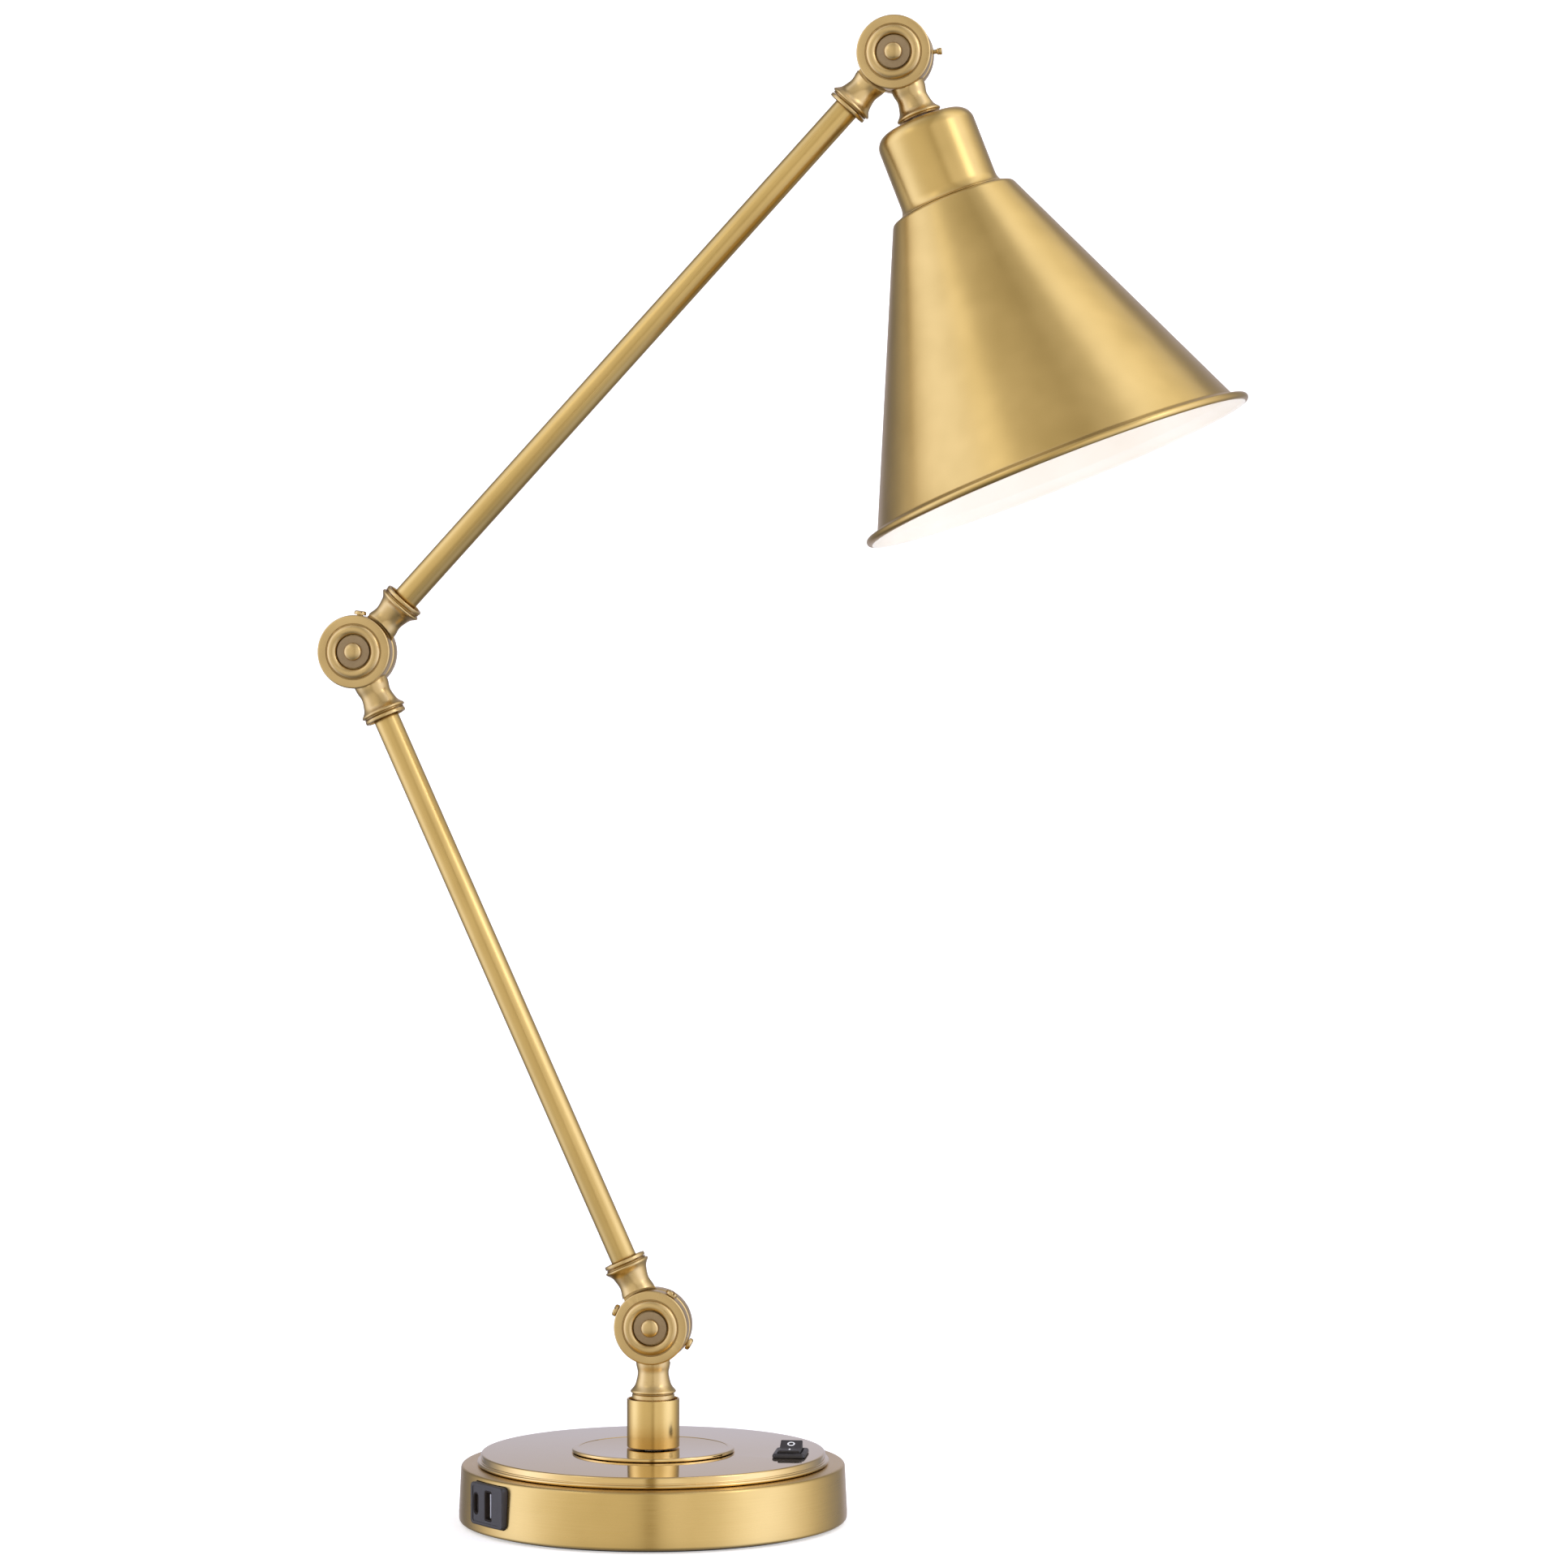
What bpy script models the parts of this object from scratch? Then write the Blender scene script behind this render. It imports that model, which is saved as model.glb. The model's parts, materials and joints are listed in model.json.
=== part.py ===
"""Swing arm desk lamp: a weighted round base with a rocker switch and two charging ports, two tube arms
on three toothed knuckles, and a conical metal shade.

Lengths are written in millimetres and turned into metres when a mesh is made. +Z is up, the arms swing in
the XZ plane, the front is -Y, and the origin is the middle of the pad that the lamp stands on.
Angles in that plane are in degrees from +X towards +Z.
"""

from math import atan2, cos, degrees, hypot, pi, radians, sin

import bmesh
import bpy
from mathutils import Matrix, Vector

MM = 0.001
GAP = 0.3  # clearance between two pieces that touch
PAST = 9.0  # how far a cutter runs past the wall it cuts

# Joint angles at rest and axis to axis lengths
LOWER_ARM_LENGTH = 339.8
UPPER_ARM_LENGTH = 370.3
LOWER_ARM_ANGLE = 114.1
UPPER_ARM_ANGLE = 47.4
SHADE_ANGLE = 291.2
DOWN = 270.0

# Base
PAD_THICKNESS = 1.2
PAD_MARGIN = 5.1
BASE_RADIUS = 89.1
BASE_DRAFT = 1.0
BASE_TOP = 26.9
BASE_FOOT_ROUND = 1.6
BASE_SHOULDER_ROUND = 1.3
BASE_WALL = 3.3
BASE_ROOF = 2.0
BOTTOM_PLATE_THICKNESS = 2.0
TOP_PLATE_INSET = 10.0
TOP_PLATE_THICKNESS = 5.0
TOP_PLATE_SKIN = 1.6
TOP_PLATE_BEAD = 1.7
FLANGE_RADIUS = 37.5
FLANGE_THICKNESS = 1.5
SLEEVE_RADIUS = 12.1
SLEEVE_WALL = 0.9
SLEEVE_HEIGHT = 22.1
SLEEVE_FLOOR = 3.0
BALLAST_HOLE = 16.0
BALLAST_ROOM = 2.5
BOSS_RADIUS = 4.5
BOSS_ANGLES = (45.0, 165.0, 285.0)
BOSS_INSET = 14.0
BASE_SCREW_RADIUS = 1.7
BASE_SCREW_HEAD_RADIUS = 3.4
BASE_SCREW_HEAD = 0.9
BASE_SCREW_DEPTH = 9.0

# Rocker switch on the base
SWITCH_INSET = 24.6
SWITCH_ANGLE = -4.5
SWITCH_TURN = 1.5
SWITCH_WIDTH = 15.0
SWITCH_LENGTH = 21.0
SWITCH_RIM = 2.0
SWITCH_BORDER = 1.1
SWITCH_WALL = 1.0
SWITCH_DEPTH = 18.0
SWITCH_TERMINALS = 8.5
ROCKER_WIDTH = 10.0
ROCKER_LENGTH = 14.6
ROCKER_HALF_ANGLE = 11.0
ROCKER_CREST = 4.5
ROCKER_PIVOT_DROP = 3.1
ROCKER_PIN_RADIUS = 0.9

# Charging ports in the base wall
PORT_ANGLE = 222.5
PORT_PLATE_WIDTH = 27.0
PORT_PLATE_MARGIN = 3.95
PORT_PLATE_RAISED = 1.9
PORT_PLATE_ROUND = 2.2
PORT_PLATE_PROUD = 1.2
PORT_PLATE_DEPTH = 6.3
PORT_WALL = 0.3
PORT_RECESS = 0.3
PORT_DEPTH = 14.0
USB_A_SIZE = (5.1, 12.5)
USB_A_OFFSET = 1.5
USB_A_TONGUE = (1.8, 10.5)
USB_A_TONGUE_OFFSET = 0.9
USB_C_SIZE = (3.2, 8.9)
USB_C_OFFSET = -8.8
USB_C_TONGUE = (0.8, 6.7)
PORT_BOARD_THICKNESS = 1.6

# Cable inlet at the back
INLET_HEIGHT = 12.0
INLET_RADIUS = 3.8
INLET_WALL = 1.6
INLET_FLANGE = 1.9
INLET_FLANGE_THICKNESS = 2.0

# Knuckles
KNUCKLE_RADIUS = 17.0
KNUCKLE_THICKNESS = 18.5
KNUCKLE_CHAMFER = 0.7
TOOTHED_WASHER = 1.8
TOOTHED_WASHER_INSET = 0.6
NECK_CLEARANCE = 1.4
NECK_LENGTH = 14.3
NECK_WAIST_WALL = 0.8
NECK_LIP_WALL = 4.1
NECK_SEAT_DEPTH = 6.0
FACE_BEAD_HEIGHT = 1.2
FACE_BEAD_WIDTH = 4.7
CAP_WASHER_RADIUS = 7.6
CAP_WASHER_THICKNESS = 0.8
CAP_WASHER_SUNK = 0.55
BOLT_RADIUS = 3.0
BOLT_HEAD_RADIUS = 4.1
BOLT_HEAD_HEIGHT = 2.4
BOLT_NUT_RADIUS = 5.6
BOLT_NUT_HEIGHT = 4.5
STOP_HEAD_RADIUS = 2.8
STOP_HEAD_HEIGHT = 1.9
STOP_SHANK_RADIUS = 1.5
STOP_SHANK_LENGTH = 5.0
STOP_PIN_LENGTH = 4.0
COLLAR_RADIUS = 9.8

# Arm tubes and the rings at their ends
TUBE_RADIUS = 6.0
TUBE_WALL = 1.0
RING_RADIUS = 9.75
RING_HEIGHT = 2.0
RING_BORE = 8.4
LEAD_RADIUS = 2.6
LEAD_ENTRY = 4.0

# Threaded tubes that carry the lead through the swivel and into the lampholder
NIPPLE_RADIUS = 5.0
NIPPLE_WALL = 1.8
NIPPLE_HOLD = 10.0
LOCK_NUT_RADIUS = 8.1
LOCK_NUT_HEIGHT = 5.0
SWIVEL_WASHER_THICKNESS = 1.0

# Shade, cup, lampholder and bulb, along the shade axis from the head knuckle
HEAD_WASHER_RADIUS = 8.2
HEAD_WASHER_THICKNESS = 1.0
CUP_RADIUS = 23.0
CUP_LENGTH = 39.2
CUP_WALL = 1.2
CUP_ROUND = 7.0
CUP_FLARE = 3.2
SHADE_RIM_RADIUS = 91.0
SHADE_LENGTH = 133.8
SHADE_WALL = 0.7
SHADE_SHOULDER = 2.9
SHADE_BEAD = 1.95
SHADE_TURN = 2.6
HOLDER_RADIUS = 17.0
HOLDER_BORE = 13.3
HOLDER_LENGTH = 62.5
HOLDER_FLOOR = 34.5
HOLDER_RING_WIDTH = 3.7
HOLDER_RING_HEIGHT = 4.2
BULB_CAP_RADIUS = 12.9
BULB_CAP_LENGTH = 25.4
BULB_CAP_WALL = 0.8
BULB_WALL = 1.2
BULB_RADIUS = 30.0
BULB_LENGTH = 84.0

# Derived sizes
BASE_RECESS = PAD_THICKNESS + GAP
PLATE_TOP = BASE_TOP + GAP + TOP_PLATE_THICKNESS
FLANGE_TOP = PLATE_TOP + GAP + FLANGE_THICKNESS
SLEEVE_TOP = FLANGE_TOP + GAP + SLEEVE_HEIGHT
NIPPLE_HOLE = NIPPLE_RADIUS + GAP
TUBE_HOLE = TUBE_RADIUS + GAP
NECK_END = KNUCKLE_RADIUS + NECK_LENGTH
RING_START = NECK_END + GAP
RING_END = RING_START + RING_HEIGHT - GAP
TUBE_START = NECK_END - NECK_SEAT_DEPTH
BASE_PIVOT_HEIGHT = SLEEVE_TOP + RING_END
HALF_THICKNESS = KNUCKLE_THICKNESS / 2
CHEEK_INNER = TOOTHED_WASHER / 2 + GAP
CHEEK_MIDDLE = (CHEEK_INNER + HALF_THICKNESS) / 2
SWITCH_RADIUS = BASE_RADIUS - SWITCH_INSET
INNER_RADIUS = BASE_RADIUS - BASE_WALL
CUP_TOP = NECK_END + 2 * GAP + HEAD_WASHER_THICKNESS + GAP
CUP_END = CUP_TOP + CUP_LENGTH
SHADE_TOP = CUP_END + GAP
SHADE_END = SHADE_TOP + SHADE_LENGTH
FRONT = -1
REAR = 1

# Facets round a full turn, by how large the piece is
LARGE = 48
MEDIUM = 28
SMALL = 20
TINY = 14
FINE = 10


# Meshes


def add_object(name, bm, finish, parent=None, at=Matrix()):
    """An object from a bmesh in millimetres. With no finish it is a cutter: hidden, and drawn as wire."""
    bmesh.ops.recalc_face_normals(bm, faces=bm.faces)
    bmesh.ops.scale(bm, vec=(MM, MM, MM), verts=bm.verts)
    mesh = bpy.data.meshes.new(name)
    bm.to_mesh(mesh)
    bm.free()
    obj = bpy.data.objects.new(name, mesh)
    bpy.context.scene.collection.objects.link(obj)
    obj.parent = parent
    obj.matrix_local = at
    if finish is None:
        obj.hide_render = True
        obj.display_type = "WIRE"
        return obj
    mesh.materials.append(finish)
    mesh.shade_smooth()
    mesh.set_sharp_from_angle(angle=radians(35))
    return obj


def turned(name, outline, finish, parent=None, at=Matrix(), steps=SMALL):
    """A body turned about its own Z axis from a closed outline of (radius, height) points."""
    bm = bmesh.new()
    points = [bm.verts.new((radius, 0, height)) for radius, height in outline]
    edges = []
    for first, second in zip(points, points[1:] + points[:1]):
        if first.co.x > 0 or second.co.x > 0:
            edges.append(bm.edges.new((first, second)))
    bmesh.ops.spin(bm, geom=points + edges, cent=(0, 0, 0), axis=(0, 0, 1), angle=2 * pi, steps=steps)
    bmesh.ops.remove_doubles(bm, verts=bm.verts, dist=1e-3)
    return add_object(name, bm, finish, parent, at)


def prism(name, outline, low, high, finish, parent=None, at=Matrix()):
    """A straight body with a closed (x, y) outline, from height low to height high."""
    bm = bmesh.new()
    face = bm.faces.new([bm.verts.new((x, y, low)) for x, y in outline])
    raised = bmesh.ops.extrude_face_region(bm, geom=[face])["geom"]
    lifted = [item for item in raised if isinstance(item, bmesh.types.BMVert)]
    bmesh.ops.translate(bm, vec=(0, 0, high - low), verts=lifted)
    return add_object(name, bm, finish, parent, at)


def rod(name, radius, low, high, finish, parent=None, at=Matrix(), steps=SMALL):
    return turned(name, [(0, low), (radius, low), (radius, high), (0, high)], finish, parent, at, steps)


def pipe(name, inner, outer, low, high, finish, parent=None, at=Matrix(), steps=SMALL):
    outline = [(inner, low), (outer, low), (outer, high), (inner, high)]
    return turned(name, outline, finish, parent, at, steps)


def boolean(body, tool, operation):
    modifier = body.modifiers.new(tool.name, "BOOLEAN")
    modifier.operation = operation
    modifier.solver = "EXACT"
    modifier.object = tool


def cut(body, tool):
    boolean(body, tool, "DIFFERENCE")


def join(body, tool):
    boolean(body, tool, "UNION")


# Outlines


def arc(centre, radius, start, end, steps):
    """Points on an arc about (x, y), from one angle in degrees to another."""
    turn = [radians(start + (end - start) * i / steps) for i in range(steps + 1)]
    return [(centre[0] + radius * cos(a), centre[1] + radius * sin(a)) for a in turn]


def rounded_box(width, height, radius, middle=(0, 0), steps=3):
    """A rectangle of this width and height about its middle, with round corners."""
    points = []
    for quarter, (side, end) in enumerate(((1, 1), (-1, 1), (-1, -1), (1, -1))):
        corner = (middle[0] + side * (width / 2 - radius), middle[1] + end * (height / 2 - radius))
        points += arc(corner, radius, 90 * quarter, 90 * quarter + 90, steps)
    return points


def box(width, height, middle=(0, 0)):
    x, y = width / 2, height / 2
    corners = ((x, y), (-x, y), (-x, -y), (x, -y))
    return [(middle[0] + a, middle[1] + b) for a, b in corners]


def hexagon(radius):
    return arc((0, 0), radius, 0, 300, 5)


# Places


def shift(x=0.0, y=0.0, z=0.0):
    return Matrix.Translation(Vector((x, y, z)) * MM)


def spin(angle, axis):
    return Matrix.Rotation(radians(angle), 4, axis)


def aim(angle):
    """A turn that points the local Z axis at this angle in the arms' plane."""
    return spin(90 - angle, "Y")


def face_out(side):
    """A turn that points the local Z axis to the front or the rear."""
    return spin(-90 * side, "X")


def pivot(name, parent, at):
    empty = bpy.data.objects.new(name, None)
    empty.empty_display_size = 0.02
    bpy.context.scene.collection.objects.link(empty)
    empty.parent = parent
    empty.matrix_local = at
    return empty


def finish(name, colour, roughness, metallic=0.0, alpha=1.0):
    material = bpy.data.materials.new(name)
    material.use_nodes = True
    shader = material.node_tree.nodes["Principled BSDF"]
    shader.inputs["Base Color"].default_value = (*colour, 1.0)
    shader.inputs["Roughness"].default_value = roughness
    shader.inputs["Metallic"].default_value = metallic
    shader.inputs["Alpha"].default_value = alpha
    material.diffuse_color = (*colour, 1.0)
    return material


# Base


def base_housing(parent):
    foot = (BASE_RADIUS - BASE_FOOT_ROUND, PAD_THICKNESS + BASE_FOOT_ROUND)
    top_radius = BASE_RADIUS - BASE_DRAFT
    shoulder = (top_radius - BASE_SHOULDER_ROUND, BASE_TOP - BASE_SHOULDER_ROUND)
    outline = [(INNER_RADIUS, PAD_THICKNESS)]
    outline += arc(foot, BASE_FOOT_ROUND, -90, 0, 2)
    outline += arc(shoulder, BASE_SHOULDER_ROUND, 0, 90, 2)
    outline += [(NIPPLE_HOLE, BASE_TOP), (NIPPLE_HOLE, BASE_TOP - BASE_ROOF)]
    outline += [(INNER_RADIUS, BASE_TOP - BASE_ROOF)]
    housing = turned("base_housing", outline, BRASS, parent, steps=LARGE)
    plate_top = BASE_RECESS + BOTTOM_PLATE_THICKNESS
    for angle in BOSS_ANGLES:
        place = spin(angle, "Z") @ shift(x=BASE_RADIUS - BOSS_INSET)
        roof_middle = BASE_TOP - BASE_ROOF / 2
        join(housing, rod("boss", BOSS_RADIUS, plate_top + GAP, roof_middle, None, parent, place, TINY))
        hole_end = plate_top + 1 + BASE_SCREW_DEPTH
        screw_hole = BASE_SCREW_RADIUS + GAP
        cut(housing, rod("boss_hole", screw_hole, plate_top - 1, hole_end, None, parent, place, FINE))
    cut(housing, switch_hole(parent))
    window = box(PORT_PLATE_WIDTH + 2 * GAP, port_plate_height() + 2 * GAP)
    start, end = INNER_RADIUS - PAST, BASE_RADIUS + PAST
    cut(housing, prism("port_window", window, start, end, None, parent, port_place()))
    inlet_hole = INLET_RADIUS + INLET_WALL + GAP
    cut(housing, rod("inlet_hole", inlet_hole, start, end, None, parent, inlet_place(), TINY))


def switch_hole(parent):
    width = SWITCH_WIDTH - 2 * SWITCH_BORDER + 2 * GAP
    length = SWITCH_LENGTH - 2 * SWITCH_WALL + 2 * GAP
    return prism("switch_hole", box(width, length), -SWITCH_DEPTH - PAST, PAST, None, parent, switch_place())


def switch_place():
    """The switch's frame: origin in the middle of its rim, on the plate's top, X across it."""
    return spin(SWITCH_ANGLE, "Z") @ shift(x=SWITCH_RADIUS, z=PLATE_TOP) @ spin(SWITCH_TURN - SWITCH_ANGLE, "Z")


def port_place():
    """The port plate's frame: X to the right seen from outside, Y up, Z outwards from the base's axis."""
    return shift(z=port_height()) @ spin(PORT_ANGLE + 90, "Z") @ spin(90, "X")


def port_height():
    return BASE_TOP / 2 + PORT_PLATE_RAISED


def port_plate_height():
    return BASE_TOP - 2 * PORT_PLATE_MARGIN


def inlet_place():
    return shift(z=INLET_HEIGHT) @ spin(-90, "X")


def top_plate(parent):
    low = BASE_TOP + GAP
    edge = BASE_RADIUS - TOP_PLATE_INSET
    bead = TOP_PLATE_BEAD / 2
    outline = [(NIPPLE_HOLE, PLATE_TOP - TOP_PLATE_SKIN), (edge - 4, PLATE_TOP - TOP_PLATE_SKIN), (edge - 4, low)]
    outline += arc((edge + bead, low + bead), bead, -90, 90, 3)
    outline += [(edge, low + TOP_PLATE_BEAD + 0.6), (edge, PLATE_TOP - 0.7), (edge - 0.7, PLATE_TOP)]
    outline += [(NIPPLE_HOLE, PLATE_TOP)]
    plate = turned("top_plate", outline, POLISHED_BRASS, parent, steps=LARGE)
    cut(plate, switch_hole(parent))


def base_inside(parent):
    pad_radius = BASE_RADIUS - PAD_MARGIN
    rod("felt_pad", pad_radius, 0, PAD_THICKNESS, BLACK_FELT, parent, steps=LARGE)
    top = BASE_RECESS + BOTTOM_PLATE_THICKNESS
    plate = rod("bottom_plate", INNER_RADIUS - GAP, BASE_RECESS, top, STEEL, parent, steps=LARGE)
    ballast_radius = BASE_RADIUS - BOSS_INSET - BOSS_RADIUS - BALLAST_ROOM / 2
    ballast_top = BASE_TOP - BASE_ROOF - BALLAST_ROOM
    weight = pipe("base_weight", BALLAST_HOLE, ballast_radius, top + GAP, ballast_top, IRON, parent, steps=MEDIUM)
    notch = box(SWITCH_WIDTH + BALLAST_ROOM, SWITCH_LENGTH + BALLAST_ROOM)
    low = -PLATE_TOP - PAST
    cut(weight, prism("switch_notch", notch, low, PAST, None, parent, switch_place()))
    head_top = BASE_RECESS + BASE_SCREW_HEAD
    for number, angle in enumerate(BOSS_ANGLES, start=1):
        place = spin(angle, "Z") @ shift(x=BASE_RADIUS - BOSS_INSET)
        head_hole = BASE_SCREW_HEAD_RADIUS + GAP
        cut(plate, rod("head_hole", head_hole, 0, head_top + GAP, None, parent, place, FINE))
        cut(plate, rod("shank_hole", BASE_SCREW_RADIUS + GAP, 0, top + 1, None, parent, place, FINE))
        outline = [(0, BASE_RECESS), (BASE_SCREW_HEAD_RADIUS, BASE_RECESS), (BASE_SCREW_HEAD_RADIUS, head_top)]
        outline += [(BASE_SCREW_RADIUS, head_top), (BASE_SCREW_RADIUS, top + BASE_SCREW_DEPTH)]
        outline += [(0, top + BASE_SCREW_DEPTH)]
        turned(f"base_screw_{number}", outline, STEEL, parent, place, FINE)


def base_post(parent):
    low = PLATE_TOP + GAP
    outline = [(NIPPLE_HOLE, low), (FLANGE_RADIUS, low), (FLANGE_RADIUS, FLANGE_TOP - 0.5)]
    outline += [(FLANGE_RADIUS - 0.5, FLANGE_TOP), (NIPPLE_HOLE, FLANGE_TOP)]
    turned("flange_disc", outline, BRASS, parent, steps=MEDIUM)
    floor = FLANGE_TOP + GAP
    inner = SLEEVE_RADIUS - SLEEVE_WALL
    outline = [(NIPPLE_HOLE, floor), (SLEEVE_RADIUS, floor), (SLEEVE_RADIUS, SLEEVE_TOP), (inner, SLEEVE_TOP)]
    outline += [(inner, floor + SLEEVE_FLOOR), (NIPPLE_HOLE, floor + SLEEVE_FLOOR)]
    turned("post_sleeve", outline, BRASS, parent, steps=SMALL)
    start = floor + SLEEVE_FLOOR + GAP
    end = start + SWIVEL_WASHER_THICKNESS
    pipe("swivel_washer", NIPPLE_HOLE, COLLAR_RADIUS, start, end, NYLON, parent)


def switch_frame(parent):
    place = switch_place()
    low = GAP
    rim = prism("switch_frame", rounded_box(SWITCH_WIDTH, SWITCH_LENGTH, 1), low, SWITCH_RIM, BLACK, parent, place)
    width = SWITCH_WIDTH - 2 * SWITCH_BORDER
    length = SWITCH_LENGTH - 2 * SWITCH_WALL
    join(rim, prism("switch_body", box(width, length), -SWITCH_DEPTH, 1, None, parent, place))
    room = (ROCKER_WIDTH + 2 * GAP, length - 2 * SWITCH_WALL)
    floor = SWITCH_TERMINALS - SWITCH_DEPTH
    cut(rim, prism("rocker_room", box(*room), floor, SWITCH_RIM + 1, None, parent, place))
    reach = ROCKER_WIDTH / 2 + SWITCH_WALL + GAP
    hole = shift(z=SWITCH_RIM - ROCKER_PIVOT_DROP) @ spin(90, "Y")
    cut(rim, rod("pin_hole", ROCKER_PIN_RADIUS + GAP, -reach, reach, None, parent, place @ hole, FINE))


def rocker_button(parent):
    """A rocker with two faces that meet in a shallow valley; it lies with its near end pressed."""
    half = ROCKER_LENGTH / 2
    end = ROCKER_CREST + half * sin(radians(ROCKER_HALF_ANGLE))
    outline = [(0, ROCKER_CREST), (-half, end), (-half, 1), (-half / 2, -4), (half / 2, -4), (half, 1), (half, end)]
    width = ROCKER_WIDTH / 2
    upright = Matrix(((0, 0, 1, 0), (1, 0, 0, 0), (0, 1, 0, 0), (0, 0, 0, 1)))
    button = prism("rocker_button", outline, -width, width, BLACK, parent, upright)
    reach = width + SWITCH_WALL
    join(button, rod("rocker_pin", ROCKER_PIN_RADIUS, -reach, reach, None, parent, upright, FINE))


def ports(parent):
    place = port_place()
    face = BASE_RADIUS + PORT_PLATE_PROUD
    outline = rounded_box(PORT_PLATE_WIDTH, port_plate_height(), PORT_PLATE_ROUND)
    plate = prism("port_plate", outline, face - PORT_PLATE_DEPTH, face, BLACK, parent, place)
    front = face - PORT_RECESS
    back = face - PORT_DEPTH
    for name, size, offset, round_share in (
        ("usb_a_port", USB_A_SIZE, USB_A_OFFSET, 0.1),
        ("usb_c_port", USB_C_SIZE, USB_C_OFFSET, 0.5),
    ):
        middle = (offset, 0)
        shells = []
        for growth in (0, 2 * PORT_WALL, 2 * PORT_WALL + 2 * GAP):
            width, height = size[0] + growth, size[1] + growth
            corner = min(width * round_share + growth / 2, width / 2 - 0.01)
            shells.append(rounded_box(width, height, corner, middle))
        hollow, shell, hole = shells
        cut(plate, prism(name + "_hole", hole, back - 1, face + 1, None, parent, place))
        port = prism(name, shell, back, front, STEEL, parent, place)
        cut(port, prism(name + "_hollow", hollow, back + 1, face + 1, None, parent, place))
    tongue = box(*USB_A_TONGUE, middle=(USB_A_OFFSET + USB_A_TONGUE_OFFSET, 0))
    prism("usb_a_tongue", tongue, back + 1 + GAP, front - 1, STEEL, parent, place)
    tongue = prism("usb_c_tongue", box(*USB_C_TONGUE, middle=(USB_C_OFFSET, 0)), back, front - 1, None, parent, place)
    join(bpy.data.objects["usb_c_port"], tongue)
    board = box(PORT_PLATE_WIDTH - 2, port_plate_height() - 2)
    prism("port_board", board, back - GAP - PORT_BOARD_THICKNESS, back - GAP, GREEN_BOARD, parent, place)


def cable_inlet(parent):
    """A bush with a flange outside the wall and a smaller one inside it."""
    neck = INLET_RADIUS + INLET_WALL
    flange = neck + INLET_FLANGE
    outside = BASE_RADIUS + GAP
    inside = INNER_RADIUS - 2 * GAP
    end = outside + INLET_FLANGE_THICKNESS
    start = inside - INLET_FLANGE_THICKNESS
    outline = [(INLET_RADIUS, start), (flange - 0.6, start), (flange - 0.6, inside), (neck, inside)]
    outline += [(neck, outside), (flange, outside), (flange, end - 0.8), (flange - 0.8, end), (INLET_RADIUS, end)]
    turned("cable_inlet", outline, RUBBER, parent, inlet_place(), TINY)


# Knuckles


def neck_outline():
    """The outer outline of a knuckle's neck, as (radius, distance from the joint's axis)."""
    waist = TUBE_HOLE + NECK_WAIST_WALL
    lip = TUBE_HOLE + NECK_LIP_WALL
    root = KNUCKLE_RADIUS
    return [
        (0, root - 7),
        (waist + 0.9, root - 7),
        (waist + 0.9, root - 1),
        (waist, root + 4.6),
        (waist + 0.8, root + 8.7),
        (lip, root + 12.6),
        (lip, root + 13.3),
        (lip - 0.6, NECK_END),
    ]


def knuckle_half(name, side, parent, at, neck=None, stops=()):
    """One half of a knuckle: a cheek on the front or the rear and a neck, along +Z, on the middle plane.

    The neck is cleared round the other half's cheek. stops are the angles, from the neck, of the stop
    screws in the cheek's rim.
    """
    edge = KNUCKLE_RADIUS - KNUCKLE_CHAMFER
    bead = (BOLT_RADIUS + 7.25, HALF_THICKNESS - 1.0)
    bead_round = hypot(FACE_BEAD_WIDTH / 2, 1.0)
    recess = bead[0] - FACE_BEAD_WIDTH / 2
    floor = HALF_THICKNESS + CAP_WASHER_SUNK - CAP_WASHER_THICKNESS - GAP - 0.3
    start = degrees(atan2(1.0, FACE_BEAD_WIDTH / 2))
    bolt_hole = BOLT_RADIUS + GAP
    outline = [(bolt_hole, CHEEK_INNER), (edge, CHEEK_INNER), (KNUCKLE_RADIUS, CHEEK_INNER + KNUCKLE_CHAMFER)]
    outline += [(KNUCKLE_RADIUS, HALF_THICKNESS - KNUCKLE_CHAMFER), (edge, HALF_THICKNESS)]
    outline += arc(bead, bead_round, start, 180 - start, 2)
    outline += [(recess, floor), (bolt_hole, floor)]
    half = turned(name, outline, ANTIQUE_BRASS, parent, at @ face_out(side), SMALL)
    outline = neck or neck_outline() + [(0, NECK_END)]
    join(half, turned("neck", outline, None, parent, at, TINY))
    other = at @ face_out(-side)
    clear = KNUCKLE_RADIUS + NECK_CLEARANCE
    cut(half, rod("clearance", clear, -CHEEK_INNER, HALF_THICKNESS + 5, None, parent, other, SMALL))
    for angle in stops:
        place = stop_place(at, side, angle)
        depth = KNUCKLE_RADIUS - STOP_SHANK_LENGTH - GAP
        hole = STOP_SHANK_RADIUS + GAP
        cut(half, rod("stop_hole", hole, depth, KNUCKLE_RADIUS + 1, None, parent, place, FINE))
    return half


def stop_place(at, side, angle):
    return at @ spin(-angle, "Y") @ shift(y=side * CHEEK_MIDDLE)


def tube_half(name, side, parent, at, stops=()):
    """A knuckle half whose neck holds an arm tube, with the ring that covers the tube's end."""
    half = knuckle_half(name, side, parent, at, stops=stops)
    cut(half, rod("tube_seat", TUBE_HOLE, TUBE_START - GAP, NECK_END + 5, None, parent, at, TINY))
    passage = TUBE_START - LEAD_ENTRY - 1
    cut(half, rod("lead_passage", LEAD_RADIUS + 2 * GAP, passage, TUBE_START, None, parent, at, FINE))


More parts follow.
